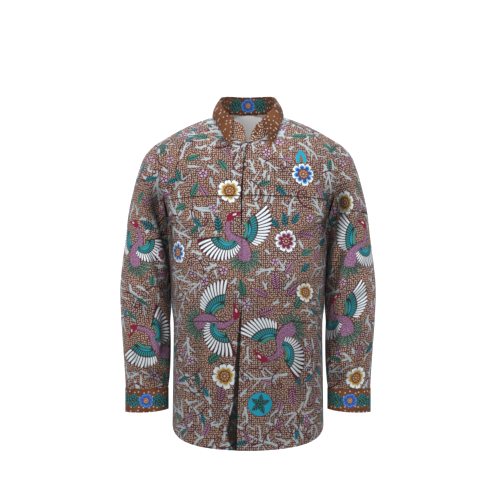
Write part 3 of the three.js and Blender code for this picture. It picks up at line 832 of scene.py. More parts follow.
def sewn_cloth(name, node, panel, outline, items, material, lift, depth, thick=1.2, pitch=5.0,
               creases=None, shade=None, gap=None, ground="ground", back_fill=None):
    """A cut piece of cloth: an outer skin with its print cut in, a coarser inner skin, and a rim that joins them."""
    unit = panel.unit
    edge = outline * unit
    low, high = edge.min(0), edge.max(0)
    points, outlines, edges, colours = [edge], [], [], [DYE_NAMES.index(ground)]
    grid = lattice(low, high, pitch)
    grid = grid[inside(grid, edge)]
    points.append(grid)
    start = len(edge) + len(grid)
    if items:
        flat = np.concatenate([p for p, _ in items])
        plane = np.stack(panel.params(panel.flat, flat), -1) * unit
        plane = np.clip(plane, low - 14, high + 14)
        ends = np.cumsum([len(p) for p, _ in items])
        for (p, colour), end in zip(items, ends):
            part = plane[end - len(p):end]
            if (part > low).all(-1).any() and (part < high).all(-1).any():
                k = start + np.arange(len(p))
                edges.append(np.stack([k, np.roll(k, -1)], -1))
                points.append(part)
                outlines.append(part)
                colours.append(DYE_NAMES.index(colour))
                start += len(p)
    edges = np.concatenate(edges) if edges else ()
    plane, triangles = triangulate(np.concatenate(points), [np.arange(len(edge))], edges)
    owner = topmost(plane[triangles].mean(1), outlines)
    used, triangles = np.unique(triangles, return_inverse=True)
    plane, triangles = plane[used], triangles.reshape(-1, 3)
    loop = borders(triangles)
    coarse = lattice(low, high, pitch * 2)
    coarse = coarse[inside(coarse, edge)]
    clear = np.sqrt(((coarse[:, None] - edge[None]) ** 2).sum(-1).min(1)) > pitch * 0.7
    back_points = np.concatenate([plane[loop], coarse[clear]])
    back_plane, back_triangles = triangulate(back_points, [np.arange(len(loop))])

    surface = moved_surface(panel, lift)
    (outer, outer_n), (inner, inner_n) = (surface(*(p / unit).T) for p in (plane, back_plane))
    outer, inner = outer + outer_n * thick / 2, inner - inner_n * thick / 2
    count, n = len(outer), len(loop)
    after = np.roll(np.arange(n), -1)
    rim = np.concatenate([np.stack([loop[after], loop, count + np.arange(n)], -1),
                          np.stack([loop[after], count + np.arange(n), count + after], -1)])
    everything = [triangles, back_triangles[:, ::-1] + count, rim]
    if panel.out < 0:
        everything = [t[:, ::-1] for t in everything]
    points3 = np.concatenate([outer, inner])
    a, b, c = (points3[everything[2][:, i]] for i in range(3))
    rim_n = np.cross(b - a, c - a)
    rim_n /= np.maximum(lengths(rim_n), 1e-9)[:, None]
    normals = np.concatenate([outer_n[everything[0]], -inner_n[everything[1] - count],
                              np.repeat(rim_n[:, None], 3, 1)])
    faces3 = np.concatenate(everything)
    piece = new_object(name, points3, faces3, normals, [material])

    mesh, corners = piece.data, faces3.ravel()
    both = np.concatenate([plane, back_plane]) / unit
    pattern = panel.pattern(*both.T)
    uv = mesh.uv_layers.new(name="pattern")
    uv.data.foreach_set("uv", (pattern * MM)[corners].astype(np.float32).ravel())
    number = np.concatenate([np.array(colours)[owner], np.full(len(faces3) - len(owner), colours[0])])
    number = np.repeat(number, 3)
    print_layer = mesh.color_attributes.new("print", "FLOAT_COLOR", "CORNER")
    print_layer.data.foreach_set("color", np.column_stack([DYE_LIGHT[number], np.ones(len(number))])
                                 .astype(np.float32).ravel())
    inner_side = np.repeat(np.arange(len(faces3)) >= len(owner), 3)
    fill = DYE_FILL[number]
    if back_fill is not None:
        fill, inner_side = np.where(inner_side, back_fill, fill), 0.0 * inner_side
    for label, values in (("fill", fill), ("wrong_side", inner_side)):
        layer = mesh.attributes.new(label, "FLOAT", "CORNER")
        layer.data.foreach_set("value", values.astype(np.float32))
    # Painted shade: darker with each fold's depth, down to the bottoms of the folds, and darker again under the patches
    # of painted shade.
    dark = np.clip(depth(*both.T), -4, 16) / 14
    dark = np.clip(dark, 0, 1) ** 1.2
    if shade is not None:
        dark = 1 - (1 - dark) * (1 - np.clip(shade(pattern), 0, 0.9))
    # Distance to the pressed creases, where the material paints a thin line of shade.
    distance = creases(pattern) if creases is not None else np.full(len(pattern), 50.0)
    beside = gap(pattern) if gap is not None else np.full(len(pattern), 50.0)
    for label, values in (("fold_shade", dark), ("crease", distance), ("gap", beside)):
        layer = mesh.attributes.new(label, "FLOAT", "POINT")
        layer.data.foreach_set("value", np.asarray(values, np.float32))
    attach(piece, "root")
    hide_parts(node)
    cells = everything[0]
    a, b, c = (outer[cells[:, i]] for i in range(3))
    return piece


# --- materials --------------------------------------------------------------------------------------------------


def add(tree, kind, inputs=(), **settings):
    """Adds a node: inputs maps a socket's name or number to a value or to another node's output socket."""
    made = tree.nodes.new(kind)
    for key, value in settings.items():
        setattr(made, key, value)
    for key, value in dict(inputs).items():
        if isinstance(value, bpy.types.NodeSocket):
            tree.links.new(value, made.inputs[key])
        else:
            made.inputs[key].default_value = value
    return made


def start_material(name, roughness):
    """An empty material with its shader; returns the material, its tree and the shader."""
    material = bpy.data.materials.new(name)
    material.use_nodes = True
    tree = material.node_tree
    tree.nodes.clear()
    shader = add(tree, "ShaderNodeBsdfPrincipled", {"Roughness": roughness})
    add(tree, "ShaderNodeOutputMaterial", {"Surface": shader.outputs["BSDF"]})
    return material, tree, shader


def batik(name, dot_pitch, dot_share, warm, cool, faced=False):
    """Wax-resist dyed cotton lawn: matt, plain-woven. The dots are drops of wax that kept the ground's dye out, so
    they are pale with soft rims and stand in uneven rows; the brown soaks in unevenly, warmer here and there."""
    material, tree, shader = start_material(name, 0.88)
    pattern = add(tree, "ShaderNodeUVMap", uv_map="pattern").outputs["UV"]
    printed = add(tree, "ShaderNodeAttribute", attribute_name="print").outputs["Color"]
    fill = add(tree, "ShaderNodeAttribute", attribute_name="fill").outputs["Fac"]
    fold_shade = add(tree, "ShaderNodeAttribute", attribute_name="fold_shade").outputs["Fac"]
    crease = add(tree, "ShaderNodeAttribute", attribute_name="crease").outputs["Fac"]
    wrong = add(tree, "ShaderNodeAttribute", attribute_name="wrong_side").outputs["Fac"]

    dye = add(tree, "ShaderNodeTexNoise", {"Vector": pattern, "Scale": 17.0, "Detail": 3.0}).outputs["Fac"]
    tone = add(tree, "ShaderNodeMapRange", {"Value": dye, "From Min": 0.40, "From Max": 0.62}).outputs["Result"]
    bare = add(tree, "ShaderNodeMix", {0: tone, 6: (*linear(cool), 1), 7: (*linear(warm), 1)}, data_type="RGBA")

    def waxed(pitch, share):
        """The brown ground with pale dots at one pitch."""
        cells = add(tree, "ShaderNodeVectorMath", {0: pattern, 1: (1 / pitch, 1 / pitch, 1)}, operation="MULTIPLY")
        off = add(tree, "ShaderNodeTexVoronoi", {"Vector": cells.outputs[0], "Scale": 1000.0, "Randomness": 0.5},
                  voronoi_dimensions="2D").outputs["Distance"]
        dot = add(tree, "ShaderNodeMapRange", {"Value": off, "From Min": share + 0.07, "From Max": share - 0.05},
                  interpolation_type="SMOOTHSTEP").outputs["Result"]
        return add(tree, "ShaderNodeMix", {0: dot, 6: bare.outputs[2], 7: (*linear("#d0c1b6"), 1)},
                   data_type="RGBA").outputs[2]

    speck = add(tree, "ShaderNodeTexVoronoi", {"Vector": pattern, "Scale": 420.0}, voronoi_dimensions="2D")
    specks = add(tree, "ShaderNodeMapRange", {"Value": speck.outputs["Distance"], "From Min": 0.46, "From Max": 0.30})
    speckled = add(tree, "ShaderNodeMix", {0: specks.outputs["Result"], 6: printed, 7: (*linear("#6b2b52"), 1)},
                   data_type="RGBA")
    is_ground = add(tree, "ShaderNodeMath", {0: fill, 1: 1.0, 2: 0.1}, operation="COMPARE").outputs[0]
    is_speckled = add(tree, "ShaderNodeMath", {0: fill, 1: 2.0, 2: 0.1}, operation="COMPARE").outputs[0]
    colour = add(tree, "ShaderNodeMix", {0: is_ground, 6: printed, 7: waxed(dot_pitch, dot_share)}, data_type="RGBA")
    colour = add(tree, "ShaderNodeMix", {0: is_speckled, 6: colour.outputs[2], 7: speckled.outputs[2]},
                 data_type="RGBA")
    if faced:
        # The face that is cut from the main cloth has its closer dots.
        is_faced = add(tree, "ShaderNodeMath", {0: fill, 1: 3.0, 2: 0.1}, operation="COMPARE").outputs[0]
        colour = add(tree, "ShaderNodeMix", {0: is_faced, 6: colour.outputs[2], 7: waxed(4.6, 0.245)}, data_type="RGBA")
    # The wrong side takes the dye a little paler.
    pale = add(tree, "ShaderNodeMath", {0: wrong, 1: 0.15}, operation="MULTIPLY").outputs[0]
    colour = add(tree, "ShaderNodeMix", {0: pale, 6: colour.outputs[2], 7: (*linear("#bba894"), 1)}, data_type="RGBA")
    # Painted shade: the colour darkens towards the bottoms of the folds, and a thin line of painted shade runs along
    # each pressed crease.
    away = add(tree, "ShaderNodeMath", {0: crease}, operation="ABSOLUTE").outputs[0]
    line = add(tree, "ShaderNodeMapRange", {"Value": away, "From Min": 2.3, "From Max": 0.7, "To Max": 0.86},
               interpolation_type="SMOOTHSTEP").outputs["Result"]
    both = add(tree, "ShaderNodeMath", {0: fold_shade, 1: line}, operation="MAXIMUM").outputs[0]
    # Beside the lapped edge the cloth lies in the gap's own shade.
    gap = add(tree, "ShaderNodeAttribute", attribute_name="gap").outputs["Fac"]
    gap_shade = add(tree, "ShaderNodeMapRange", {"Value": gap, "From Min": 1.1, "From Max": 0.75, "To Max": 1.0},
               interpolation_type="SMOOTHSTEP").outputs["Result"]
    both = add(tree, "ShaderNodeMath", {0: both, 1: gap_shade}, operation="MAXIMUM").outputs[0]
    keep = add(tree, "ShaderNodeMapRange", {"Value": both, "To Min": 1.0, "To Max": 0.05}).outputs["Result"]
    tint = add(tree, "ShaderNodeMix", {0: 1.0, 6: colour.outputs[2]}, data_type="RGBA", blend_type="MULTIPLY")
    tree.links.new(keep, tint.inputs[7])
    tree.links.new(tint.outputs[2], shader.inputs["Base Color"])
    # Threads lie 0.35 mm apart; drawn at 1.1 mm, the finest that still shows.
    weave = add(tree, "ShaderNodeTexNoise", {"Vector": pattern, "Scale": 900.0, "Detail": 2.0}).outputs["Fac"]
    bump = add(tree, "ShaderNodeBump", {"Strength": 0.12, "Distance": 0.0004, "Height": weave})
    tree.links.new(bump.outputs[0], shader.inputs["Normal"])
    shader.inputs["Sheen Weight"].default_value = 0.06
    shader.inputs["Sheen Roughness"].default_value = 0.5
    shader.inputs["Specular IOR Level"].default_value = 0.25
    return material


def plain(name, colour, roughness, **sockets):
    """A material of one colour."""
    material, _, shader = start_material(name, roughness)
    shader.inputs["Base Color"].default_value = (*linear(colour), 1)
    for socket, value in sockets.items():
        shader.inputs[socket.replace("_", " ").title().replace("Ior", "IOR")].default_value = value
    return material


main_cloth = batik("batik cotton, hand-waxed ground", 4.6, 0.245, "#74462c", "#5f3a34")
border_cloth = batik("batik cotton, sparse border", 11.0, 0.12, "#744423", "#5a3119", faced=True)
white_cotton = plain("bleached cotton lining", "#faf9f6", 0.9)
button_resin = plain("moulded polyester button", "#5a3a2a", 0.32)

# --- folds: half-width, depth inwards (negative outwards), then positions (x, z) along the fold ------------------

FRONT_FOLDS = [
    # wearer's right
    (9, 9, (-197, -172), (-186, -226), (-172, -300)), (12, 5, (-118, -112), (-158, -154), (-186, -206)),
    (11, 3.5, (-69, -98), (-82, -150), (-92, -214)), (13, 5, (-180, -236), (-132, -262), (-80, -304)),
    (15, 4, (-168, -330), (-120, -366), (-52, -380)), (18, 5, (-122, -400), (-112, -560), (-120, -716)),
    (16, 4, (-62, -470), (-66, -600), (-56, -746)), (10, 3, (-150, -470), (-146, -560), (-152, -640)),
    # wearer's left
    (9, 9, (197, -172), (187, -226), (176, -306)), (12, 4.5, (128, -106), (164, -150), (190, -204)),
    (13, 5, (180, -238), (128, -268), (76, -300)), (12, 3, (60, -88), (78, -140), (84, -200)),
    (15, 4, (170, -350), (110, -388), (40, -396)), (19, 5, (128, -420), (119, -560), (127, -712)),
    (17, 4, (58, -490), (66, -620), (57, -744)), (10, 3, (156, -520), (150, -600), (155, -690)),
]
BACK_FOLDS = [
    (12, 9, (192, -176), (160, -250), (118, -340)), (13, 8, (-192, -172), (-156, -256), (-108, -352)),
    (14, 6, (150, -120), (110, -190), (60, -236)), (13, 5, (-150, -126), (-106, -186), (-46, -226)),
    (18, 5, (70, -330), (78, -500), (64, -700)), (20, 6, (-60, -360), (-70, -540), (-58, -730)),
    (15, 4, (128, -420), (120, -560), (130, -700)), (15, 4.5, (-132, -400), (-122, -540), (-128, -690)),
    (12, 3.5, (20, -250), (16, -400), (24, -560)), (16, -3, (0, -420), (4, -560), (-6, -740)),
    (13, 4, (-170, -420), (-110, -450), (-30, -452)), (13, 4, (172, -440), (110, -468), (34, -466)),
]
LEFT_SLEEVE_FOLDS = [
    (9, 9, (204, -168), (197, -226), (190, -284)), (10, 9, (224, -258), (205, -340), (192, -436)),
    (11, 4, (266, -196), (242, -256), (212, -304)), (9, 5, (282, -326), (248, -350), (204, -376)),
    (10, 5, (286, -396), (250, -410), (206, -444)), (9, 6, (194, -456), (200, -526), (208, -604)),
    (8, 4, (264, -508), (252, -560), (247, -618)), (7, 4, (228, -530), (226, -576), (229, -620)),
    (9, 3, (284, -452), (262, -476), (238, -508)),
]
RIGHT_SLEEVE_FOLDS = [
    (10, 10, (-220, -176), (-196, -262), (-188, -330)), (9, 8, (-228, -292), (-206, -350), (-192, -424)),
    (9, 8, (-196, -424), (-192, -500), (-204, -586)), (11, 4, (-262, -190), (-240, -236), (-218, -262)),
    (9, 4.5, (-284, -340), (-250, -362), (-206, -396)), (10, 5, (-288, -404), (-252, -424), (-208, -462)),
    (8, 5, (-240, -548), (-222, -584), (-216, -620)), (8, 4, (-262, -500), (-256, -560), (-252, -618)),
    (9, 3, (-288, -470), (-262, -500), (-240, -536)),
]
# Behind the arm, by the angle round the sleeve and the length down it.
SLEEVE_BACK_FOLDS = [
    (11, 7, (-2.9, 60), (-2.3, 130), (-1.6, 200)), (10, 6, (-3.0, 150), (-2.2, 210), (-1.2, 250)),
    (9, 7, (-2.9, 250), (-2.0, 280), (-0.8, 300)), (9, 6, (-2.8, 310), (-1.9, 330), (-0.9, 352)),
    (10, 5, (-2.6, 370), (-1.8, 400), (-0.9, 440)), (8, 4, (-1.9, 470), (-1.8, 520), (-1.75, 568)),
    (7, 4, (-1.1, 490), (-1.2, 530), (-1.2, 568)), (8, 4, (-2.5, 460), (-2.4, 520), (-2.3, 566)),
]

# --- where the main motifs sit: kind, x, z, size, degrees, mirrored ----------------------------------------------

FRONT_MOTIFS = [
    ("roundel", 27, -650, 54, 10, False), ("teal_leaf", -176, -552, 46, 215, False),
    ("red_leaf", -64, -650, 48, 262, True), ("teal_leaf", -90, -560, 46, 40, False),
    ("teal_leaf", -60, -440, 36, 80, False), ("red_leaf", 20, -452, 44, 20, False),
    ("bright_leaf", 120, -118, 38, 92, False), ("dark_leaf", 84, -256, 34, 100, False),
    ("dark_leaf", 98, -250, 32, 60, False), ("dark_leaf", 70, -258, 32, 135, False),
    ("teal_leaf", -140, -106, 34, 18, False), ("teal_leaf", -66, -104, 34, 305, False),
    ("dark_leaf", 62, -164, 32, 320, False), ("red_leaf", 112, -268, 46, 350, False),
    ("teal_leaf", 118, -318, 34, 20, False), ("dark_leaf", 118, -356, 32, 40, False),
    ("red_leaf", 96, -610, 48, 278, False), ("dark_leaf", 108, -590, 26, 300, False),
    ("teal_leaf", -128, -190, 38, 60, False), ("red_leaf", -108, -160, 36, 300, False),
    ("red_leaf", 66, -400, 46, 100, False), ("red_leaf", 86, -410, 40, 40, False),
    ("red_leaf", 46, -412, 40, 150, False),
    ("teal_leaf", 104, -440, 40, 60, False), ("teal_leaf", -190, -620, 42, 30, False),
    ("bird", -18, -285, 120, 0, False), ("bird", -78, -462, 116, -58, True), ("bird", 70, -510, 118, 116, False),
    ("amber", -41, -175, 52, 0, False), ("blue", -158, -312, 50, 20, False), ("blue", 124, -137, 52, 0, False),
    ("red", 85, -287, 50, 10, False), ("amber", 129, -402, 44, 0, False), ("amber", -52, -588, 56, 0, False),
    ("blossom", -188, -146, 22, 0, False), ("blossom", -176, -104, 21, 30, False), ("blossom", 80, -30, 22, 0, False),
    ("blossom", 72, -64, 22, 40, False), ("blossom", 42, -88, 22, 10, False), ("blossom", 138, -236, 22, 0, False),
    ("blossom", 164, -258, 22, 50, False), ("blossom", -54, -352, 22, 0, False), ("blossom", -100, -136, 22, 0, False),
]
BACK_MOTIFS = [
    ("bird", -110, -300, 120, 10, True), ("bird", 60, -420, 122, 30, False), ("bird", -60, -600, 120, -20, False),
    ("bird", 120, -640, 118, 50, True), ("bird", 100, -210, 116, -8, False),
    ("amber", -30, -200, 54, 0, False), ("blue", 150, -330, 52, 0, False), ("red", -150, -430, 52, 0, False),
    ("amber", 10, -520, 54, 0, False), ("blue", -130, -150, 50, 0, False), ("amber", 30, -690, 52, 0, False),
    ("blue", 60, -100, 50, 0, False), ("roundel", -140, -690, 54, 10, False), ("red", 150, -520, 50, 0, False),
    ("blossom", -40, -100, 20, 0, False), ("blossom", 0, -300, 20, 0, False), ("blossom", -90, -500, 20, 0, False),
]
LEFT_SLEEVE_MOTIFS = [
    ("bird", 248, -300, 112, -12, True), ("bird", 212, -462, 112, 12, False), ("amber", 219, -200, 50, 0, False),
    ("amber", 246, -598, 50, 0, False), ("blossom", 214, -110, 20, 0, False), ("teal_leaf", 244, -150, 34, 290, False),
    ("blossom", 216, -380, 19, 0, False),
]
RIGHT_SLEEVE_MOTIFS = [
    ("bird", -256, -300, 108, 20, True), ("bird", -214, -520, 112, 78, True), ("amber", -286, -588, 46, 0, False),
    ("red", -198, -318, 34, 0, False), ("blossom", -212, -72, 20, 0, False), ("blossom", -224, -100, 21, 40, False),
    ("blossom", -208, -104, 20, 20, False), ("teal_leaf", -236, -174, 34, 250, False),
]


def side_lines(panel, upper, lower):
    """Signed distance to the nearer of two levels of pressed creases. A level is a list of stretches, each given by
    the positions (x, z) of its ends."""
    levels = []
    for level in (upper, lower):
        ends = [panel.place([(x0, z0), (x1, z1)]) for x0, z0, x1, z1 in level]
        levels.append([(a, (b - a) / lengths(b - a), lengths(b - a)) for a, b in ends])

    def distance(flat):
        found = []
        for stretches in levels:
            offs, pasts = [], []
            for a, way, span in stretches:
                run = (flat - a) @ way
                off = (flat - a) @ np.array([-way[1], way[0]])
                pasts.append(np.maximum(-run, run - span))
                offs.append(off + np.sign(off) * 12 * soft(pasts[-1] / 14))
            found.append(np.take_along_axis(np.array(offs), np.argmin(pasts, 0)[None], 0)[0])
        return np.minimum(-found[0], found[1])
    return distance


def patches(panel, rows):
    """Soft patches of painted shade: positions (x, z), half-sizes, the way the longer one points and how dark the
    middle is.
    """
    rows = [(panel.place((x, z))[0], a, b, np.radians(d), k) for x, z, a, b, d, k in rows]

    def shade(flat):
        total = np.zeros(len(flat))
        for at, a, b, way, k in rows:
            rel = turned(flat - at, -way) / (a, b)
            total = np.maximum(total, k * np.exp(-(rel**2).sum(-1)))
        return total
    return shade


# The painted shade beside the lapped edge: height, width of the dark band. A hair wide at the chest, it widens below
# the waist.
LAP_SHADE_BAND = np.array([(HEM, 5.0), (-745, 13.0), (-640, 11.5), (-480, 6.0), (-440, 2.0), (-300, 1.6), (-240, 2.8),
                    (-60, 1.6)], float)


def lap_shade_band(flat):
    """Distance out from the lapped edge as a share of the width of the band of painted shade at that height."""
    z = np.clip(HEM + flat[:, 1], HEM, -66)
    return (curve(FRONT_EDGES, 1, z) - flat[:, 0]) / curve(LAP_SHADE_BAND, 1, z)


# --- the panels -------------------------------------------------------------------------------------------------

TOP_T = 1 - 0.0009
SIDE = 1 - SEAM / 2 / 200
ROUND = pi - 0.0015
front_panel = Panel(lambda u, t: body_point(FRONT, u, t), (0, 1), (0, TOP_T), 1, 1, halved=True)
back_panel = Panel(lambda u, t: body_point(BACK, u, t), (0, 1), (0, TOP_T), 1, -1, halved=True)

front_lines = fold_lines(front_panel, FRONT_FOLDS)
back_lines = fold_lines(back_panel, BACK_FOLDS)


def depth_of(panel, lines):
    """Fold depth as a function of the panel's parameters."""
    return lambda u, t: fold_field(lines, panel.pattern(u, t))



def beside_arm(points, weight):
    """How far cloth bellies out where body and sleeve lie against each other, from the underarm to the waist."""
    z = points[..., 2]
    return 3.7 * soft((z + 480) / 50) * soft((-232 - z) / 40) * weight


def side_fill(side, u, t):
    """The body's share of that belly, near its side seams."""
    return beside_arm(body_point(side, u, t), soft((np.abs(u) - 0.78) / 0.18))


front_depth = depth_of(front_panel, front_lines)
back_depth = depth_of(back_panel, back_lines)
TRIES = 3600

front_print = main_print(front_panel, FRONT_MOTIFS, 7, TRIES * 2, 60)
front_creases = side_lines(front_panel, [(-196, -196, 192, -196)], [(-133, -467, -53, -466), (97, -466, 177, -465)])
# Painted shade: dark patches at the underarms and down the sides, and two beside the neck under the collar.
front_patches = patches(front_panel, [
    (-178, -240, 20, 90, 4, 0.9), (176, -236, 20, 90, -4, 0.9), (-174, -370, 15, 100, 0, 0.8),
    (174, -370, 15, 100, 0, 0.8), (-170, -560, 12, 160, 0, 0.4), (170, -560, 12, 160, 0, 0.4),
    (-60, -60, 12, 34, 30, 0.6), (-10, -90, 8, 50, 8, 0.3)])


def front_shade(flat):
    """The chest faces the light and the cloth below the waist hangs away from it, darker towards the hem."""
    low = 0.30 * soft((-290 - (HEM + flat[:, 1])) / 150) + 0.06 * soft((-520 - (HEM + flat[:, 1])) / 160)
    return 1 - (1 - low) * (1 - front_patches(flat))


sewn_cloth("shirt_front_left", "front_left", front_panel,
           outline_of(front_panel, lambda t: free_edge(1, t), SIDE, 0, TOP_T), front_print, main_cloth,
           lambda u, t: lap_lift(u, t) - front_depth(u, t) + side_fill(FRONT, u, t), front_depth,
           creases=front_creases, shade=front_shade)
sewn_cloth("shirt_front_right", "front_right", front_panel,
           outline_of(front_panel, -SIDE, lambda t: free_edge(2, t), 0, TOP_T), front_print, main_cloth,
           lambda u, t: -front_depth(u, t) + side_fill(FRONT, u, t), front_depth,
           creases=front_creases, shade=front_shade, gap=lap_shade_band)

NECK_ROW = mix(LOWER_SHARE, 1, BACK["neck_at"])


def necked_outline(wide, bottom):
    """The back's outline: straight sides and foot, a parted top whose two inner edges run along the neckline."""
    across, along = np.linspace(-wide, wide, 96), np.linspace(bottom, TOP_T, int(60 + 100 * (1 - bottom)))
    top = np.linspace(wide, 0.002, 44)
    dip = np.linspace(TOP_T, NECK_ROW, 34)
    right = np.concatenate([np.stack([0 * along[:-1] + wide, along[:-1]], -1), np.stack([top, 0 * top + TOP_T], -1),
                            np.stack([0 * dip[1:] + 0.002, dip[1:]], -1)])
    left = (right * (-1, 1))[::-1]
    return np.concatenate([np.stack([across[:-1], 0 * across[:-1] + bottom], -1), right, left[:-1]])


sewn_cloth("shirt_back", "back", back_panel, necked_outline(SIDE, 0),
           main_print(back_panel, BACK_MOTIFS, 11, TRIES * 2, 70), main_cloth,
           lambda u, t: -back_depth(u, t) + side_fill(BACK, u, t), back_depth, pitch=6.0)
sewn_cloth("upper_back_lining", "yoke_lining", back_panel, necked_outline(0.636, 0.848),
           [], white_cotton, lambda u, t: -back_depth(u, t) - 2.15, back_depth, thick=0.9, pitch=7.0)

for side, at, out, flip, folds, motifs, seed, crease in (
        ("left", sleeve_point, 1, -1, LEFT_SLEEVE_FOLDS, LEFT_SLEEVE_MOTIFS, 21, (204, -221, 272, -223)),
        ("right", mirrored(sleeve_point), -1, 1, RIGHT_SLEEVE_FOLDS, RIGHT_SLEEVE_MOTIFS, 33,
         (-270, -216, -208, -204))):
    sleeve = Panel(at, (-ROUND, ROUND), (1.0, 572 - SEAM), -1, out, front=(0, pi), cells=(61, 60), flip=flip)
    lines = fold_lines(sleeve, folds) + fold_lines_by_share(sleeve, SLEEVE_BACK_FOLDS)
    depth = depth_of(sleeve, lines)
    sign = 1 if side == "left" else -1
    # Painted shade down the sleeve's inner side, where it lies against the body, and over the forearm.
    shade = patches(sleeve, [(sign * 212, -208, 23, 56, -16 * sign, 0.98), (sign * 204, -250, 16, 60, -8 * sign, 0.9),
                             (sign * 192, -300, 20, 86, -4 * sign, 0.97),
                             (sign * 190, -400, 17, 80, 0, 0.92), (sign * 192, -500, 16, 90, 0, 0.8),
                             (sign * 206, -592, 34, 28, 0, 0.7), (sign * 252, -560, 50, 90, 0, 0.3),
                             (sign * 222, -440, 40, 60, 0, 0.3)])
    sewn_cloth(f"{side}_sleeve", f"sleeve_{side}", sleeve,
               outline_of(sleeve, -ROUND, ROUND, 1.0, 572 - SEAM),
               main_print(sleeve, motifs, seed, TRIES, 40), main_cloth,
               lambda u, t, at=at, depth=depth: -depth(u, t)
               + beside_arm(at(u, t), soft((np.abs(u) - 2.3) / 0.7)), depth,
               creases=side_lines(sleeve, [crease], [(sign * 230, -700, sign * 231, -700)]), shade=shade)

    strip = Panel(at, (PLACKET_ROUND - 0.24 - 2 * pi, PLACKET_ROUND + 0.24 - 2 * pi), (440, 566), -1, out,
                  cells=(9, 20), flip=flip)
    sewn_cloth(f"{side}_sleeve_placket", f"sleeve_placket_{side}", strip,
               outline_of(strip, strip.us[0], strip.us[-1], 440, 566, 4), [], main_cloth,
               lambda u, t, d=depth: 2.0 - d(u, t), lambda u, t: 0 * u, thick=1.0, pitch=4.0)

    cuff_at = cuff_point if side == "left" else mirrored(cuff_point)
    first, last = PLACKET_ROUND - CUFF["lap"] / 2, PLACKET_ROUND + 2 * pi + CUFF["lap"] / 2
    cuff = Panel(cuff_at, (first, last), (0, 1), -1, out, cells=(90, 8), flip=flip)
    flowers = [(2.5 * pi - 2.15, 0.5, 0.1), (2.5 * pi, 0.5, 0), (2.5 * pi + 2.1, 0.5, 0.2)]
    sewn_cloth(f"{side}_cuff", f"cuff_{side}", cuff,
               outline_of(cuff, first, last, 0, 1, 4), border_print(cuff, flowers, 32), border_cloth,
               lambda u, t: (CUFF_WALL + SEAM) * soft((u - PLACKET_ROUND - 2 * pi + CUFF["lap"] / 2 + 0.6) / 0.6),
               lambda u, t: 0 * u, thick=2.1, pitch=4.0)

stand = Panel(stand_point, (-STAND["end"], STAND["end"]), (0, 1), 1, 1, cells=(80, 8), flip=1)
sewn_cloth("neckband", "collar_stand", stand,
           outline_of(stand, -STAND["end"], STAND["end"], 0, 1, 4),
           border_print(stand, [(0, 0.56, 0)], 33), border_cloth, lambda u, t: 0 * u, lambda u, t: 0 * u,
           thick=1.5, pitch=4.0, back_fill=3.0)
fall = Panel(fall_point, (-STAND["edge"], STAND["edge"]), (0, 1), -1, 1, cells=(60, 18), rounds=5000)
sewn_cloth("turned_collar", "collar_fall", fall,
           outline_of(fall, -STAND["edge"], STAND["edge"], 0, 1, 4),
           border_print(fall, [(0, 0.66, 0)], 30), border_cloth,
           lambda u, t: 0 * u, lambda u, t: 0 * u, thick=1.5, pitch=4.0)

# --- buttons ----------------------------------------------------------------------------------------------------


def button(name, at, outward, radius, thick):
    """A four-hole button: a round plate with a raised rim and a dished face, its back resting at a point."""
    ring = np.concatenate([disc(0, 0, radius * s, 32) for s in (1, 0.94, 0.8, 0.66, 0.45, 0.2)])
    holes = [disc(x, y, 0.85, 10) for x in (-1.35, 1.35) for y in (-1.35, 1.35)]
    points = np.concatenate([ring, *holes])
    faces = [np.arange(32)] + [len(ring) + 10 * i + np.arange(10) for i in range(4)]
    plane, triangles = triangulate(points, faces)
    r = lengths(plane) / radius
    top = thick * (1 - 0.34 * soft((1 - r) * 6) * soft((0.95 - r) * 5) - 0.3 * soft((r - 0.93) / 0.07))
    base = 0.25 * thick * soft((r - 0.9) / 0.1)
    edges = np.concatenate([triangles[:, [0, 1]], triangles[:, [1, 2]], triangles[:, [2, 0]]])
    _, first, count = np.unique(np.sort(edges, 1), axis=0, return_index=True, return_counts=True)
    a, b = edges[first[count == 1]].T
    n = len(plane)
    rim = [np.stack([b, a, a + n], -1), np.stack([b, a + n, b + n], -1)]
    faces3 = np.concatenate([triangles, triangles[:, ::-1] + n, *rim])
    points3 = np.concatenate([np.column_stack([plane, top]), np.column_stack([plane, base])])
    z = outward / lengths(outward)
    x = np.cross(z, (0.3, 0.2, 0.93))
    x /= lengths(x)
    points3 = at + points3 @ np.stack([x, np.cross(z, x), z])
    made = new_object(f"{name}_four_hole", points3, faces3, None, [button_resin])
    made.data.polygons.foreach_set("use_smooth", np.zeros(len(faces3), bool))
    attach(made, "root")
    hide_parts(name)


lap_surface = moved_surface(front_panel, lambda u, t: -front_depth(u, t))
for i in range(6):
    (at,), (outward,) = lap_surface(np.array([0.01]), np.atleast_1d(level_at(-125.0 - 88 * i)))
    button(f"fly_button_{i + 1}", at + outward * 1.4, outward, 5.5, 2.1)
for side, at in (("left", cuff_point), ("right", mirrored(cuff_point))):
    outward = 1 if side == "left" else -1
    surface = moved_surface(Panel(at, (4, 6), (0, 1), -1, outward, cells=(8, 4)), lambda u, t: 0 * u)
    (at,), (outward,) = surface(np.array([PLACKET_ROUND]), np.array([0.5]))
    button(f"cuff_button_{side}", at + outward * (CUFF_WALL * 1.5 + 2 * SEAM), outward, 5.5, 2.4)

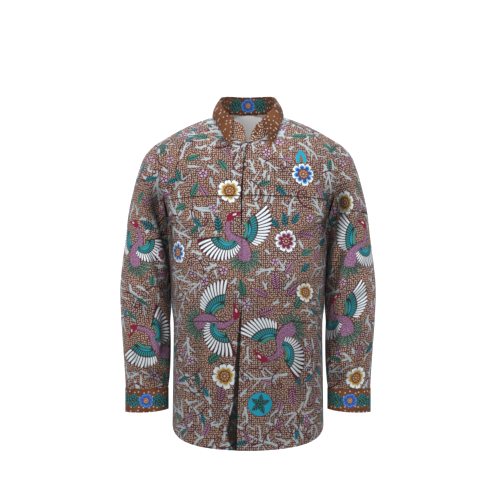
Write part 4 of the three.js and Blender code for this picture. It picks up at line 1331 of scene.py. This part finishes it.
# --- setting and light ------------------------------------------------------------------------------------------

paper = plain("matt studio paper", "#f4f5f6", 0.95)
k = np.linspace(0, pi / 2, 13)
rounded = np.stack([4.6 + 0.9 * np.sin(k), -0.40 - 0.9 * np.cos(k)], -1)
profile = np.concatenate([[(-5.5, -1.30)], rounded, [(5.5, 4.2)]])
across = np.array([-7.0, 7.0])
sweep_points = np.array([(x, y, z) for y, z in profile for x in across]) / MM
rows = np.arange(len(profile) - 1)[:, None] * 2
sweep_faces = np.concatenate([rows + (0, 1, 3), rows + (0, 3, 2)])
new_object("studio_sweep", sweep_points, sweep_faces, None, [paper])


def area_light(name, at, size, power, aim=(0, 0, -0.35), colour=(1, 1, 1)):
    """A soft square lamp that faces a point."""
    data = bpy.data.lights.new(name, "AREA")
    data.energy, data.size, data.color = power, size, colour
    lamp = bpy.data.objects.new(name, data)
    bpy.context.scene.collection.objects.link(lamp)
    lamp.location = at
    lamp.rotation_euler = (Vector(aim) - Vector(at)).to_track_quat("-Z", "Y").to_euler()


area_light("key", (-1.6, -2.6, 1.3), 1.4, 42)
area_light("fill", (2.2, -2.4, 0.4), 2.0, 19)
area_light("top", (0, 0.2, 2.2), 1.6, 22)
spot = bpy.data.lights.new("neck spot", "SPOT")
spot.energy, spot.spot_size, spot.spot_blend, spot.shadow_soft_size = 330, np.radians(3.8), 0.8, 0.15
neck_spot = bpy.data.objects.new("neck spot", spot)
bpy.context.scene.collection.objects.link(neck_spot)
neck_spot.location = (0, -2.0, 0.75)
neck_spot.rotation_euler = (Vector((0, 0.06, 0.0)) - Vector((0, -2.0, 0.75))).to_track_quat("-Z", "Y").to_euler()
area_light("backdrop wash", (0, 2.9, 3.2), 3.0, 150, (0, 5.5, -0.4))
world = bpy.data.worlds.new("studio air")
bpy.context.scene.world = world
world.use_nodes = True
world.node_tree.nodes["Background"].inputs["Color"].default_value = (0.93, 0.95, 1.0, 1)
world.node_tree.nodes["Background"].inputs["Strength"].default_value = 0.55
bpy.context.scene.view_settings.view_transform = "Standard"
